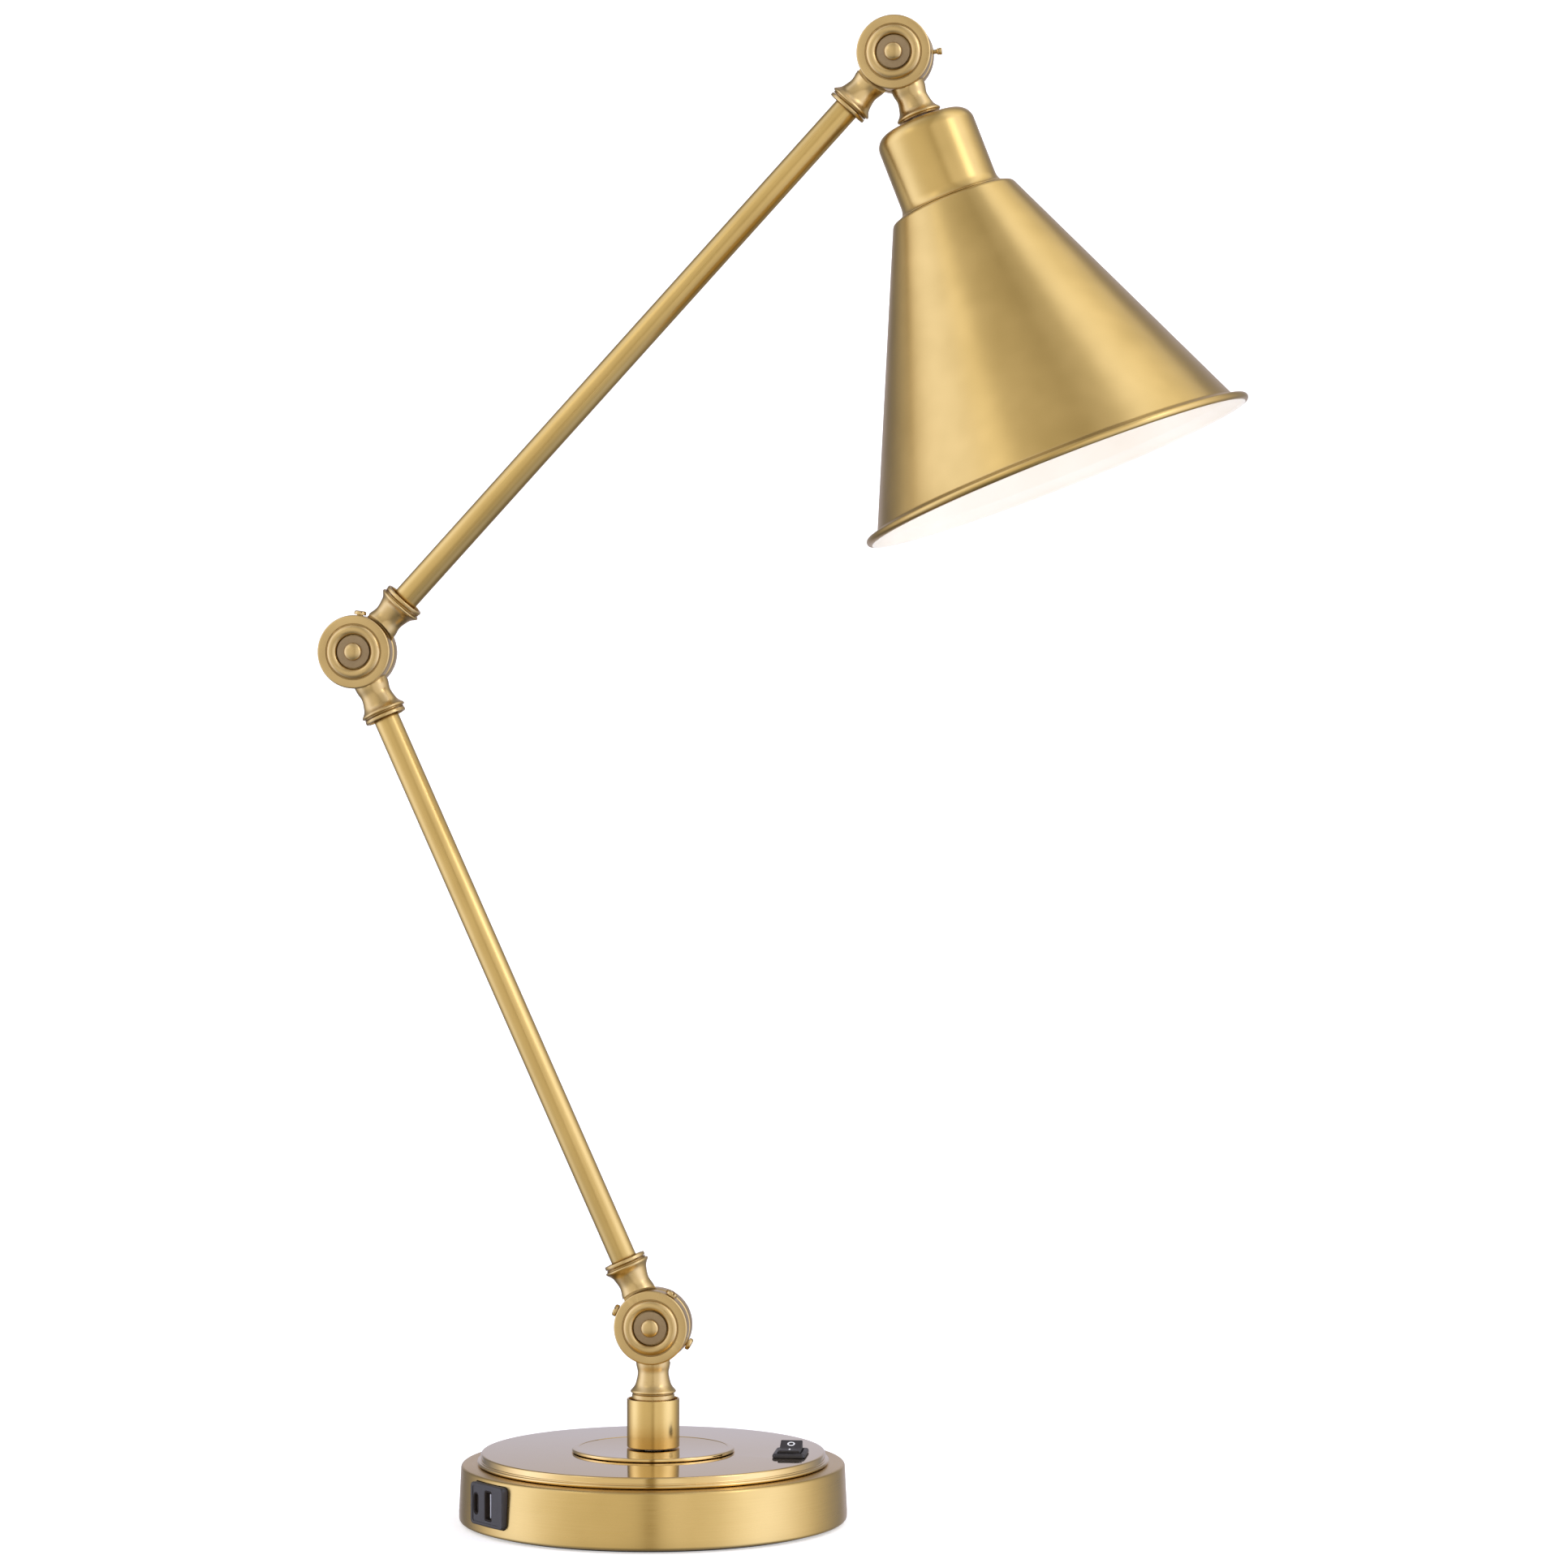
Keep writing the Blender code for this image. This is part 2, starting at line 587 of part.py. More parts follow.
def base_knuckle(parent, at):
    waist = TUBE_HOLE + NECK_WAIST_WALL
    collar_end = BASE_PIVOT_HEIGHT - FLANGE_TOP - SLEEVE_FLOOR - SWIVEL_WASHER_THICKNESS - 3 * GAP
    neck = neck_outline()[:-1] + [(COLLAR_RADIUS, NECK_END), (COLLAR_RADIUS, collar_end), (0, collar_end)]
    half = knuckle_half("base_knuckle", FRONT, parent, at, neck, BASE_STOPS)
    nipple_end = collar_end - NIPPLE_HOLD - GAP
    cut(half, rod("nipple_seat", NIPPLE_HOLE, nipple_end, collar_end + 1, None, parent, at, TINY))
    passage = KNUCKLE_RADIUS + waist
    cut(half, rod("lead_passage", LEAD_RADIUS + 2 * GAP, passage, nipple_end + 1, None, parent, at, FINE))
    roof = BASE_TOP - BASE_ROOF - GAP
    low = BASE_PIVOT_HEIGHT - roof + LOCK_NUT_HEIGHT + 3
    inner = NIPPLE_RADIUS - NIPPLE_WALL
    pipe("swivel_nipple", inner, NIPPLE_RADIUS, nipple_end + GAP, low, STEEL, parent, at, TINY)
    place = at @ shift(z=BASE_PIVOT_HEIGHT - roof)
    nut = prism("swivel_lock_nut", hexagon(LOCK_NUT_RADIUS), 0, LOCK_NUT_HEIGHT, STEEL, parent, place)
    cut(nut, rod("nut_hole", NIPPLE_HOLE, -1, LOCK_NUT_HEIGHT + 1, None, parent, place, TINY))


def head_knuckle(parent, at):
    half = knuckle_half("head_knuckle", FRONT, parent, at)
    nipple_start = NECK_END - NIPPLE_HOLD
    cut(half, rod("nipple_seat", NIPPLE_HOLE, nipple_start - GAP, NECK_END + 1, None, parent, at, TINY))
    passage = LEAD_RADIUS + 2 * GAP
    cut(half, rod("lead_passage", passage, nipple_start - 4, nipple_start, None, parent, at, FINE))
    start = NECK_END + 2 * GAP
    end = start + HEAD_WASHER_THICKNESS
    pipe("head_washer", NIPPLE_HOLE, HEAD_WASHER_RADIUS, start, end, ANTIQUE_BRASS, parent, at)
    inner = NIPPLE_RADIUS - NIPPLE_WALL
    end = CUP_TOP + NIPPLE_HOLD
    pipe("head_nipple", inner, NIPPLE_RADIUS, nipple_start, end, STEEL, parent, at, TINY)


def pivot_hardware(prefix, parent, at):
    """The toothed washer, the cap washer, the domed bolt and the nut, which turn with the front half."""
    front = at @ face_out(FRONT)
    hole = BOLT_RADIUS + GAP
    half = TOOTHED_WASHER / 2
    radius = KNUCKLE_RADIUS - TOOTHED_WASHER_INSET
    pipe(prefix + "_toothed_washer", hole, radius, -half, half, BLACKENED, parent, front, SMALL)
    top = HALF_THICKNESS + CAP_WASHER_SUNK
    low = top - CAP_WASHER_THICKNESS
    pipe(prefix + "_cap_washer", hole, CAP_WASHER_RADIUS, low, top, DULL_BRASS, parent, front, SMALL)
    head = top + GAP
    nut_low = HALF_THICKNESS + CAP_WASHER_SUNK
    end = -nut_low - BOLT_NUT_HEIGHT - 1
    dome = [(BOLT_HEAD_RADIUS * cos(radians(a)), head + BOLT_HEAD_HEIGHT * sin(radians(a))) for a in (25, 60)]
    outline = [(0, end), (BOLT_RADIUS, end), (BOLT_RADIUS, head), (BOLT_HEAD_RADIUS, head)]
    outline += dome + [(0, head + BOLT_HEAD_HEIGHT)]
    turned(prefix + "_bolt", outline, ANTIQUE_BRASS, parent, front, TINY)
    rear = at @ face_out(REAR)
    place = rear @ shift(z=nut_low - CAP_WASHER_THICKNESS)
    nut = prism(prefix + "_nut", hexagon(BOLT_NUT_RADIUS), 0, BOLT_NUT_HEIGHT, ANTIQUE_BRASS, parent, place)
    cut(nut, rod("nut_hole", hole, -1, BOLT_NUT_HEIGHT + 1, None, parent, place, TINY))


def stop_screw(name, side, parent, at, angle):
    low = KNUCKLE_RADIUS - STOP_SHANK_LENGTH
    head = KNUCKLE_RADIUS + GAP
    outline = [(0, low), (STOP_SHANK_RADIUS, low), (STOP_SHANK_RADIUS, head), (STOP_HEAD_RADIUS, head)]
    outline += [(STOP_HEAD_RADIUS, head + STOP_HEAD_HEIGHT - 0.8)]
    outline += [(STOP_HEAD_RADIUS - 0.8, head + STOP_HEAD_HEIGHT), (0, head + STOP_HEAD_HEIGHT)]
    turned(name, outline, ANTIQUE_BRASS, parent, stop_place(at, side, angle), FINE)


def stop_pin(name, side, parent, at, angle):
    """A stop with no head: a pin with a slightly spread tip."""
    low = KNUCKLE_RADIUS - STOP_SHANK_LENGTH
    tip = KNUCKLE_RADIUS + STOP_PIN_LENGTH
    outline = [(0, low), (STOP_SHANK_RADIUS, low), (STOP_SHANK_RADIUS, tip - 1.2)]
    outline += [(STOP_SHANK_RADIUS + 0.6, tip - 0.4), (STOP_SHANK_RADIUS + 0.6, tip), (0, tip)]
    turned(name, outline, ANTIQUE_BRASS, parent, stop_place(at, side, angle), FINE)


# Arms


def arm_tube(prefix, length, parent):
    """The tube between two knuckles, its two end rings and the lead inside it, all along +Z."""
    inner = TUBE_RADIUS - TUBE_WALL
    start, end = TUBE_START, length - TUBE_START
    pipe(prefix + "_tube", inner, TUBE_RADIUS, start, end, SATIN_BRASS, parent)
    for place, low in (("lower", RING_START), ("upper", length - RING_END)):
        name = f"{prefix}_{place}_ring"
        high = low + RING_END - RING_START
        pipe(name, RING_BORE, RING_RADIUS, low, high, ANTIQUE_BRASS, parent, steps=TINY)
    rod(prefix + "_lead", LEAD_RADIUS, start - LEAD_ENTRY, end + LEAD_ENTRY, BLACK, parent, steps=FINE)


# Head


def socket_cup(parent, at):
    flare = CUP_RADIUS + CUP_FLARE
    shoulder = (CUP_RADIUS - CUP_ROUND, CUP_TOP + CUP_ROUND)
    inner_round = CUP_ROUND - CUP_WALL
    inner = CUP_RADIUS - CUP_WALL
    outline = [(NIPPLE_HOLE, CUP_TOP)]
    outline += arc(shoulder, CUP_ROUND, -90, 0, 3)
    outline += [(CUP_RADIUS, CUP_END - 3.5), (CUP_RADIUS + 0.9, CUP_END - 1.5), (flare, CUP_END)]
    outline += [(flare - 2, CUP_END), (inner, CUP_END - 2.5)]
    outline += arc(shoulder, inner_round, 0, -90, 2)
    outline += [(NIPPLE_HOLE, CUP_TOP + CUP_WALL)]
    turned("socket_cup", outline, SATIN_BRASS, parent, at, MEDIUM)


def shade(parent, at):
    """A cone with a flat top that the lampholder's ring clamps, a round shoulder and a rolled rim."""
    shoulder = CUP_RADIUS + CUP_FLARE + SHADE_SHOULDER
    cone_top = SHADE_TOP + SHADE_SHOULDER - 0.6
    bead = (SHADE_RIM_RADIUS, SHADE_END - SHADE_BEAD)
    turn = (SHADE_RIM_RADIUS - SHADE_BEAD - SHADE_TURN, SHADE_END - SHADE_BEAD - SHADE_TURN)
    hole = HOLDER_RADIUS + GAP
    outline = [(hole, SHADE_TOP), (shoulder - 3.6, SHADE_TOP), (shoulder - 1.2, SHADE_TOP + 0.7)]
    outline += [(shoulder, cone_top), (turn[0], turn[1] - 1)]
    outline += arc(bead, SHADE_BEAD, 215, 505, 6)
    outline += [(turn[0] - SHADE_WALL, turn[1]), (shoulder - SHADE_WALL, cone_top + 0.5)]
    outline += [(shoulder - 3.8, SHADE_TOP + SHADE_WALL), (hole, SHADE_TOP + SHADE_WALL)]
    turned("shade", outline, SATIN_BRASS, parent, at, LARGE)


def lampholder(parent, at):
    top = CUP_TOP + CUP_WALL + GAP
    end = top + HOLDER_LENGTH
    floor = top + HOLDER_FLOOR
    nipple_room = CUP_TOP + NIPPLE_HOLD + GAP
    outline = [(NIPPLE_HOLE, top), (HOLDER_RADIUS - 5, top), (HOLDER_RADIUS, top + 5), (HOLDER_RADIUS, end)]
    outline += [(HOLDER_BORE, end), (HOLDER_BORE, floor), (0, floor), (0, nipple_room), (NIPPLE_HOLE, nipple_room)]
    turned("lampholder", outline, BLACK, parent, at, SMALL)
    hole = HOLDER_RADIUS + GAP
    low = SHADE_TOP + SHADE_WALL + GAP
    outer = HOLDER_RADIUS + HOLDER_RING_WIDTH
    pipe("holder_ring", hole, outer, low, low + HOLDER_RING_HEIGHT, BLACK, parent, at, SMALL)
    start = floor + GAP
    end = start + BULB_CAP_LENGTH
    inner = BULB_CAP_RADIUS - BULB_CAP_WALL
    outline = [(0, start), (5, start), (BULB_CAP_RADIUS - 3, start + 3), (BULB_CAP_RADIUS, start + 6)]
    outline += [(BULB_CAP_RADIUS, end), (inner, end), (inner, start + 6.5), (inner - 3, start + 4), (0, start + 2)]
    turned("bulb_cap", outline, STEEL, parent, at, TINY)
    glass = end + GAP
    far = glass + BULB_LENGTH
    middle = far - BULB_RADIUS
    neck = BULB_CAP_RADIUS - 0.2
    spread = (glass + 5 + middle) / 2 - 3
    outline = [(neck - BULB_WALL, glass), (neck, glass), (neck, glass + 5), ((neck + BULB_RADIUS) / 2, spread)]
    outline += arc((0, middle), BULB_RADIUS, -18, 90, 5)
    outline += arc((0, middle), BULB_RADIUS - BULB_WALL, 90, -18, 4)
    outline += [((neck + BULB_RADIUS) / 2 - BULB_WALL, spread), (neck - BULB_WALL, glass + 5)]
    turned("bulb_glass", outline, FROSTED, parent, at, SMALL)


BASE_STOPS = (155.5 - DOWN, 58.5 - DOWN)
LOWER_FOOT_STOP = -29.0 - LOWER_ARM_ANGLE
LOWER_HEAD_STOP = 82.0 - LOWER_ARM_ANGLE - 180
UPPER_HEAD_STOP = 5.4 - UPPER_ARM_ANGLE - 180

for old in list(bpy.data.objects):
    bpy.data.objects.remove(old)

BRASS = finish("brushed_brass", (0.48, 0.29, 0.09), 0.28, 1.0)
SATIN_BRASS = finish("satin_brass", (0.55, 0.34, 0.11), 0.3, 1.0)
POLISHED_BRASS = finish("polished_brass", (0.62, 0.42, 0.18), 0.08, 1.0)
ANTIQUE_BRASS = finish("antique_brass", (0.42, 0.27, 0.1), 0.4, 1.0)
DULL_BRASS = finish("dull_brass", (0.33, 0.24, 0.13), 0.6, 0.8)
BLACKENED = finish("blackened_steel", (0.06, 0.05, 0.04), 0.5, 0.8)
STEEL = finish("zinc_steel", (0.5, 0.5, 0.5), 0.35, 1.0)
IRON = finish("cast_iron", (0.09, 0.09, 0.09), 0.7, 0.6)
BLACK = finish("black_plastic", (0.02, 0.02, 0.02), 0.35)
RUBBER = finish("black_rubber", (0.02, 0.02, 0.02), 0.8)
BLACK_FELT = finish("black_felt", (0.015, 0.015, 0.015), 0.95)
NYLON = finish("nylon", (0.8, 0.78, 0.7), 0.5)
GREEN_BOARD = finish("circuit_board", (0.03, 0.2, 0.08), 0.5)
FROSTED = finish("frosted_glass", (0.95, 0.93, 0.88), 0.3)

base = pivot("base_origin", None, Matrix())
base_housing(base)
top_plate(base)
base_inside(base)
base_post(base)
switch_frame(base)
ports(base)
cable_inlet(base)

rocker_tilt = spin(ROCKER_HALF_ANGLE, "X")
rocker = pivot("rocker_pivot", base, switch_place() @ shift(z=SWITCH_RIM - ROCKER_PIVOT_DROP) @ rocker_tilt)
rocker_button(rocker)

swivel = pivot("base_swivel_pivot", base, shift(z=BASE_PIVOT_HEIGHT))
base_knuckle(swivel, aim(DOWN))
pivot_hardware("base", swivel, aim(DOWN))
stop_screw("base_left_stop", FRONT, swivel, aim(DOWN), BASE_STOPS[0])
stop_screw("base_right_stop", FRONT, swivel, aim(DOWN), BASE_STOPS[1])

lower_arm = pivot("lower_tilt_pivot", swivel, aim(LOWER_ARM_ANGLE))
far_end = shift(z=LOWER_ARM_LENGTH) @ spin(180, "Y")
tube_half("lower_arm_foot", REAR, lower_arm, Matrix(), (LOWER_FOOT_STOP,))
stop_screw("lower_foot_stop", REAR, lower_arm, Matrix(), LOWER_FOOT_STOP)
arm_tube("lower_arm", LOWER_ARM_LENGTH, lower_arm)
tube_half("lower_arm_head", FRONT, lower_arm, far_end, (LOWER_HEAD_STOP,))
stop_screw("elbow_stop", FRONT, lower_arm, far_end, LOWER_HEAD_STOP)
pivot_hardware("elbow", lower_arm, far_end)

elbow_turn = spin(LOWER_ARM_ANGLE - UPPER_ARM_ANGLE, "Y")
upper_arm = pivot("elbow_tilt_pivot", lower_arm, shift(z=LOWER_ARM_LENGTH) @ elbow_turn)
far_end = shift(z=UPPER_ARM_LENGTH) @ spin(180, "Y")
tube_half("upper_arm_foot", REAR, upper_arm, Matrix())
arm_tube("upper_arm", UPPER_ARM_LENGTH, upper_arm)
tube_half("upper_arm_head", REAR, upper_arm, far_end, (UPPER_HEAD_STOP,))
stop_pin("head_stop", REAR, upper_arm, far_end, UPPER_HEAD_STOP)

head_turn = spin(UPPER_ARM_ANGLE - SHADE_ANGLE, "Y")
head = pivot("head_tilt_pivot", upper_arm, shift(z=UPPER_ARM_LENGTH) @ head_turn)
head_knuckle(head, Matrix())
pivot_hardware("head", head, Matrix())
socket_cup(head, Matrix())
shade(head, Matrix())
lampholder(head, Matrix())
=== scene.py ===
"""Looks of the swing arm desk lamp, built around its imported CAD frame.

Lengths are in millimetres and turned into metres when a mesh is made. +Z is up, the front is -Y, and
the arms swing in the XZ plane. Each turned piece is built about its own Z axis and then put in place.
"""

import json
import logging
import math
from collections.abc import Sequence
from dataclasses import dataclass, field
from enum import Enum

import bmesh
import bpy
from mathutils import Matrix, Vector


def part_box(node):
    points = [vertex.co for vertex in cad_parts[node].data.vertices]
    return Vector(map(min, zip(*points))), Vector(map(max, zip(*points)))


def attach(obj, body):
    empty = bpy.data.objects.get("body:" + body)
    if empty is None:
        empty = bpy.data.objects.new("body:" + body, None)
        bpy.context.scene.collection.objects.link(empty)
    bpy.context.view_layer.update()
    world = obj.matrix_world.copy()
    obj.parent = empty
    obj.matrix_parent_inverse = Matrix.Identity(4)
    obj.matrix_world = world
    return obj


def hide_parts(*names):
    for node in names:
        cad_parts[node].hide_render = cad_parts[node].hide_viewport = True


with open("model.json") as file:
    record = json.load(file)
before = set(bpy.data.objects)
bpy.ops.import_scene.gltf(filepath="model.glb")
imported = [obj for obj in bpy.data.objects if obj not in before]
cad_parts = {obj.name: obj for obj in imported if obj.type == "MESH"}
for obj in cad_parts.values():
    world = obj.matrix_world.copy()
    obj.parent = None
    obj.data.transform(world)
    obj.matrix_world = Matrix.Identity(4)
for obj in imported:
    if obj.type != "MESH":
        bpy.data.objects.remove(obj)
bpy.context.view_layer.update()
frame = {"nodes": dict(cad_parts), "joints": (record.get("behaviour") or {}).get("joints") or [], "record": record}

MM = 0.001
FULL_TURN = 2 * math.pi
SHARP_EDGE = math.radians(32)
NEARLY_STRAIGHT = math.radians(88)
MOST_OF_A_SIDE = 0.49
NOTHING = 1e-6
SAME_POINT = 1e-8
QUARTER_STEPS = 6
TINY_FACES, SMALL_FACES, MEDIUM_FACES = 48, 64, 96
CHEEK_FACES, DISC_FACES, BASE_FACES, SHADE_FACES = 128, 160, 240, 320
# Pointiness bands for the painted highlight with wear on edges and for the painted shade in crevices, and how dark
# that painted shade is.
EDGE_BAND = (0.5, 0.58)
CREVICE_BAND = (0.42, 0.495)
CREVICE_SHADE = 0.35
QUARTER_TURN = 0.25

Point = tuple[float, float]
Corner = tuple[float, float, float]
Colour = tuple[float, float, float]
Ring = list[Vector]

LOG = logging.getLogger("lamp")


# Outlines


def arc(centre: Point, radius: float, start: float, end: float, steps: int = 12) -> list[Point]:
    """Points on an arc, from one angle in degrees to another.

    Args:
        centre: The arc's middle.
        radius: Its radius.
        start: The angle of the first point.
        end: The angle of the last point.
        steps: How many lines the arc is drawn with.

    Returns:
        The points, both ends included.
    """
    turns = [math.radians(start + (end - start) * i / steps) for i in range(steps + 1)]
    return [(centre[0] + radius * math.cos(a), centre[1] + radius * math.sin(a)) for a in turns]


def rounded(corners: Sequence[Corner], steps: int = 5) -> list[Point]:
    """A closed outline with each corner rounded by its own radius.

    Args:
        corners: (x, y, rounding) of each corner. A rounding of 0 leaves it sharp.
        steps: How many lines each round corner is drawn with.

    Returns:
        The outline's points.
    """
    points: list[Point] = []
    for index, (x, y, rounding) in enumerate(corners):
        here = Vector((x, y))
        before = Vector(corners[index - 1][:2]) - here
        after = Vector(corners[(index + 1) % len(corners)][:2]) - here
        half = before.angle(after) / 2
        reach = rounding / math.tan(half)
        if rounding <= 0 or half > NEARLY_STRAIGHT:
            points.append((x, y))
            continue
        reach = min(reach, MOST_OF_A_SIDE * before.length, MOST_OF_A_SIDE * after.length)
        first = here + before.normalized() * reach
        last = here + after.normalized() * reach
        middle = here + (before.normalized() + after.normalized()).normalized() * reach / math.cos(half)
        start = first - middle
        sweep = start.angle_signed(last - middle)
        for step in range(steps + 1):
            turn = -sweep * step / steps
            arm = Vector((
                start.x * math.cos(turn) - start.y * math.sin(turn),
                start.x * math.sin(turn) + start.y * math.cos(turn),
            ))
            points.append(tuple(middle + arm))
    return points


def smooth_line(points: Sequence[Point], steps: int = 5) -> list[Point]:
    """A smooth line through these points.

    Args:
        points: What the line passes through.
        steps: How many lines are drawn between two of them.

    Returns:
        The line's points, both ends included.
    """
    ends = [points[0], *points, points[-1]]
    line: list[Point] = []
    for a, b, c, d in zip(ends, ends[1:], ends[2:], ends[3:]):
        for step in range(steps):
            t = step / steps
            line.append(tuple(
                0.5 * (2 * q + (r - p) * t + (2 * p - 5 * q + 4 * r - s) * t**2
                       + (3 * q - p - 3 * r + s) * t**3)
                for p, q, r, s in zip(a, b, c, d)
            ))
    return [*line, points[-1]]


def rounded_box(width: float, height: float, corner: float, middle: Point = (0, 0)) -> list[Point]:
    """A rectangle's outline with round corners.

    Args:
        width: Its size along X.
        height: Its size along Y.
        corner: The radius of its corners.
        middle: Where it is.

    Returns:
        The outline's points.
    """
    points: list[Point] = []
    for quarter, (side, end) in enumerate(((1, 1), (-1, 1), (-1, -1), (1, -1))):
        centre = (middle[0] + side * (width / 2 - corner), middle[1] + end * (height / 2 - corner))
        points += arc(centre, corner, 90 * quarter, 90 * quarter + 90, QUARTER_STEPS)
    return points


# Meshes


def turned(outline: Sequence[Point], steps: int = MEDIUM_FACES) -> bpy.types.Mesh:
    """A body turned about Z.

    Its UV map holds the angle round the axis in radians and the distance along the outline in
    millimetres, which the metal finishes read for their brushing.

    Args:
        outline: A closed outline of (radius, height).
        steps: How many faces there are round the axis.

    Returns:
        The mesh, in metres.
    """
    area = sum(a[0] * b[1] - b[0] * a[1] for a, b in zip(outline, [*outline[1:], outline[0]]))
    line = list(outline) if area > 0 else list(reversed(outline))
    bm = bmesh.new()
    uv = bm.loops.layers.uv.new("turn")
    columns = []
    for radius, height in line:
        if radius < NOTHING:
            columns.append([bm.verts.new((0, 0, height * MM))] * (steps + 1))
            continue
        turn = [FULL_TURN * i / steps for i in range(steps)]
        column = [
            bm.verts.new((radius * MM * math.cos(a), radius * MM * math.sin(a), height * MM)) for a in turn
        ]
        columns.append([*column, column[0]])
    travel = 0.0
    for index, here in enumerate(line):
        following = (index + 1) % len(line)
        length = math.dist(here, line[following])
        low, high = columns[index], columns[following]
        for i in range(steps):
            corners = (
                (low[i], i, travel), (low[i + 1], i + 1, travel),
                (high[i + 1], i + 1, travel + length), (high[i], i, travel + length),
            )
            kept = [c for n, c in enumerate(corners) if c[0] is not corners[n - 1][0]]
            if len(kept) < 3 or length < NOTHING:
                continue
            face = bm.faces.new([c[0] for c in kept])
            for loop, (_, column, along) in zip(face.loops, kept):
                loop[uv].uv = (FULL_TURN * column / steps, along)
        travel += length
    bmesh.ops.remove_doubles(bm, verts=bm.verts, dist=SAME_POINT)
    return finished_mesh(bm)


def lofted(rings: Sequence[Ring]) -> bpy.types.Mesh:
    """A body that joins rings of equally many points, one after another, with a cap on both ends.

    Args:
        rings: The rings' points, in millimetres.

    Returns:
        The mesh, in metres.
    """
    bm = bmesh.new()
    columns = [[bm.verts.new(point * MM) for point in ring] for ring in rings]
    for low, high in zip(columns, columns[1:]):
        for i in range(len(low)):
            bm.faces.new((low[i - 1], low[i], high[i], high[i - 1]))
    bm.faces.new(columns[0])
    bm.faces.new(list(reversed(columns[-1])))
    bmesh.ops.recalc_face_normals(bm, faces=bm.faces)
    return finished_mesh(bm)


def finished_mesh(bm: bmesh.types.BMesh) -> bpy.types.Mesh:
    """Turns a bmesh into a mesh with smooth shading that keeps its sharp edges."""
    mesh = bpy.data.meshes.new("lamp")
    bm.to_mesh(mesh)
    bm.free()
    mesh.shade_smooth()
    mesh.set_sharp_from_angle(angle=SHARP_EDGE)
    return mesh


def level(outline: Sequence[Point], height: float) -> Ring:
    """An outline in the XY plane, lifted to this height."""
    return [Vector((x, y, height)) for x, y in outline]


def block(
    width: float, height: float, corner: float, low: float, high: float, middle: Point = (0, 0)
) -> bpy.types.Mesh:
    """A straight block with round corners.

    Args:
        width: Its size along X.
        height: Its size along Y.
        corner: The radius of its upright edges.
        low: The height of its underside.
        high: The height of its top.
        middle: Where it is in the XY plane.

    Returns:
        The mesh, in metres.
    """
    outline = rounded_box(width, height, corner, middle)
    return lofted([level(outline, low), level(outline, high)])


def rod(
    radius: float, low: float, high: float, edge: float = 0.0, steps: int = TINY_FACES
) -> bpy.types.Mesh:
    """A round bar along Z with rounded ends.

    Args:
        radius: Its radius.
        low: Where it starts.
        high: Where it ends.
        edge: The rounding of its ends.
        steps: How many faces there are round it.

    Returns:
        The mesh, in metres.
    """
    return turned(rounded([(0, low, 0), (radius, low, edge), (radius, high, edge), (0, high, 0)]), steps)


def pipe(
    inner: float, outer: float, low: float, high: float, edge: float = 0.0, steps: int = MEDIUM_FACES
) -> bpy.types.Mesh:
    """A round tube along Z with rounded edges.

    Args:
        inner: The radius of its bore.
        outer: Its outer radius.
        low: Where it starts.
        high: Where it ends.
        edge: The rounding of its edges.
        steps: How many faces there are round it.

    Returns:
        The mesh, in metres.
    """
    corners = [(inner, low, edge), (outer, low, edge), (outer, high, edge), (inner, high, edge)]
    return turned(rounded(corners, 4), steps)


def settle(mesh: bpy.types.Mesh, modifier: str, **settings: object) -> bpy.types.Mesh:
    """Runs one modifier on a mesh and keeps what it makes.

    Args:
        mesh: The mesh to change.
        modifier: The kind of modifier.
        settings: The modifier's settings.

    Returns:
        The changed mesh.
    """
    carrier = bpy.data.objects.new("carrier", mesh)
    bpy.context.scene.collection.objects.link(carrier)
    step = carrier.modifiers.new("step", modifier)
    for name, value in settings.items():
        setattr(step, name, value)
    bpy.context.view_layer.update()
    made = bpy.data.meshes.new_from_object(carrier.evaluated_get(bpy.context.evaluated_depsgraph_get()))
    bpy.data.objects.remove(carrier)
    made.shade_smooth()
    made.set_sharp_from_angle(angle=SHARP_EDGE)
    return made


def combine(mesh: bpy.types.Mesh, tool: bpy.types.Mesh, operation: str) -> bpy.types.Mesh:
    """Joins a tool to a mesh, or cuts it out of the mesh.

    Args:
        mesh: The mesh to work on.
        tool: The other mesh.
        operation: UNION or DIFFERENCE.

    Returns:
        The result.
    """
    other = bpy.data.objects.new("tool", tool)
    bpy.context.scene.collection.objects.link(other)
    made = settle(mesh, "BOOLEAN", operation=operation, solver="EXACT", object=other)
    bpy.data.objects.remove(other)
    return made


def moved(mesh: bpy.types.Mesh, place: Matrix) -> bpy.types.Mesh:
    """Moves a mesh by a placing matrix and gives it back."""
    mesh.transform(place)
    return mesh


def eased(mesh: bpy.types.Mesh, width: float, segments: int = 3) -> bpy.types.Mesh:
    """Rounds a mesh's sharp edges by a width in millimetres."""
    return settle(
        mesh, "BEVEL", width=width * MM, segments=segments, limit_method="ANGLE", harden_normals=False
    )


# Places


def shift(x: float = 0.0, y: float = 0.0, z: float = 0.0) -> Matrix:
    """A move, in millimetres."""
    return Matrix.Translation(Vector((x, y, z)) * MM)


def turn(angle: float, axis: str) -> Matrix:
    """A turn about an axis, in degrees."""
    return Matrix.Rotation(math.radians(angle), 4, axis)


def looking(origin: Vector, direction: Vector) -> Matrix:
    """A frame in the arms' plane: its Z along a direction, its Y to the rear. The origin is in metres."""
    upright = direction.normalized()
    rear = Vector((0, 1, 0))
    across = rear.cross(upright)
    return Matrix.Translation(origin) @ Matrix((across, rear, upright)).transposed().to_4x4()


def low(node: str) -> Vector:
    """A CAD node's lowest corner, in millimetres."""
    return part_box(node)[0] / MM


def high(node: str) -> Vector:
    """A CAD node's highest corner, in millimetres."""
    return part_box(node)[1] / MM


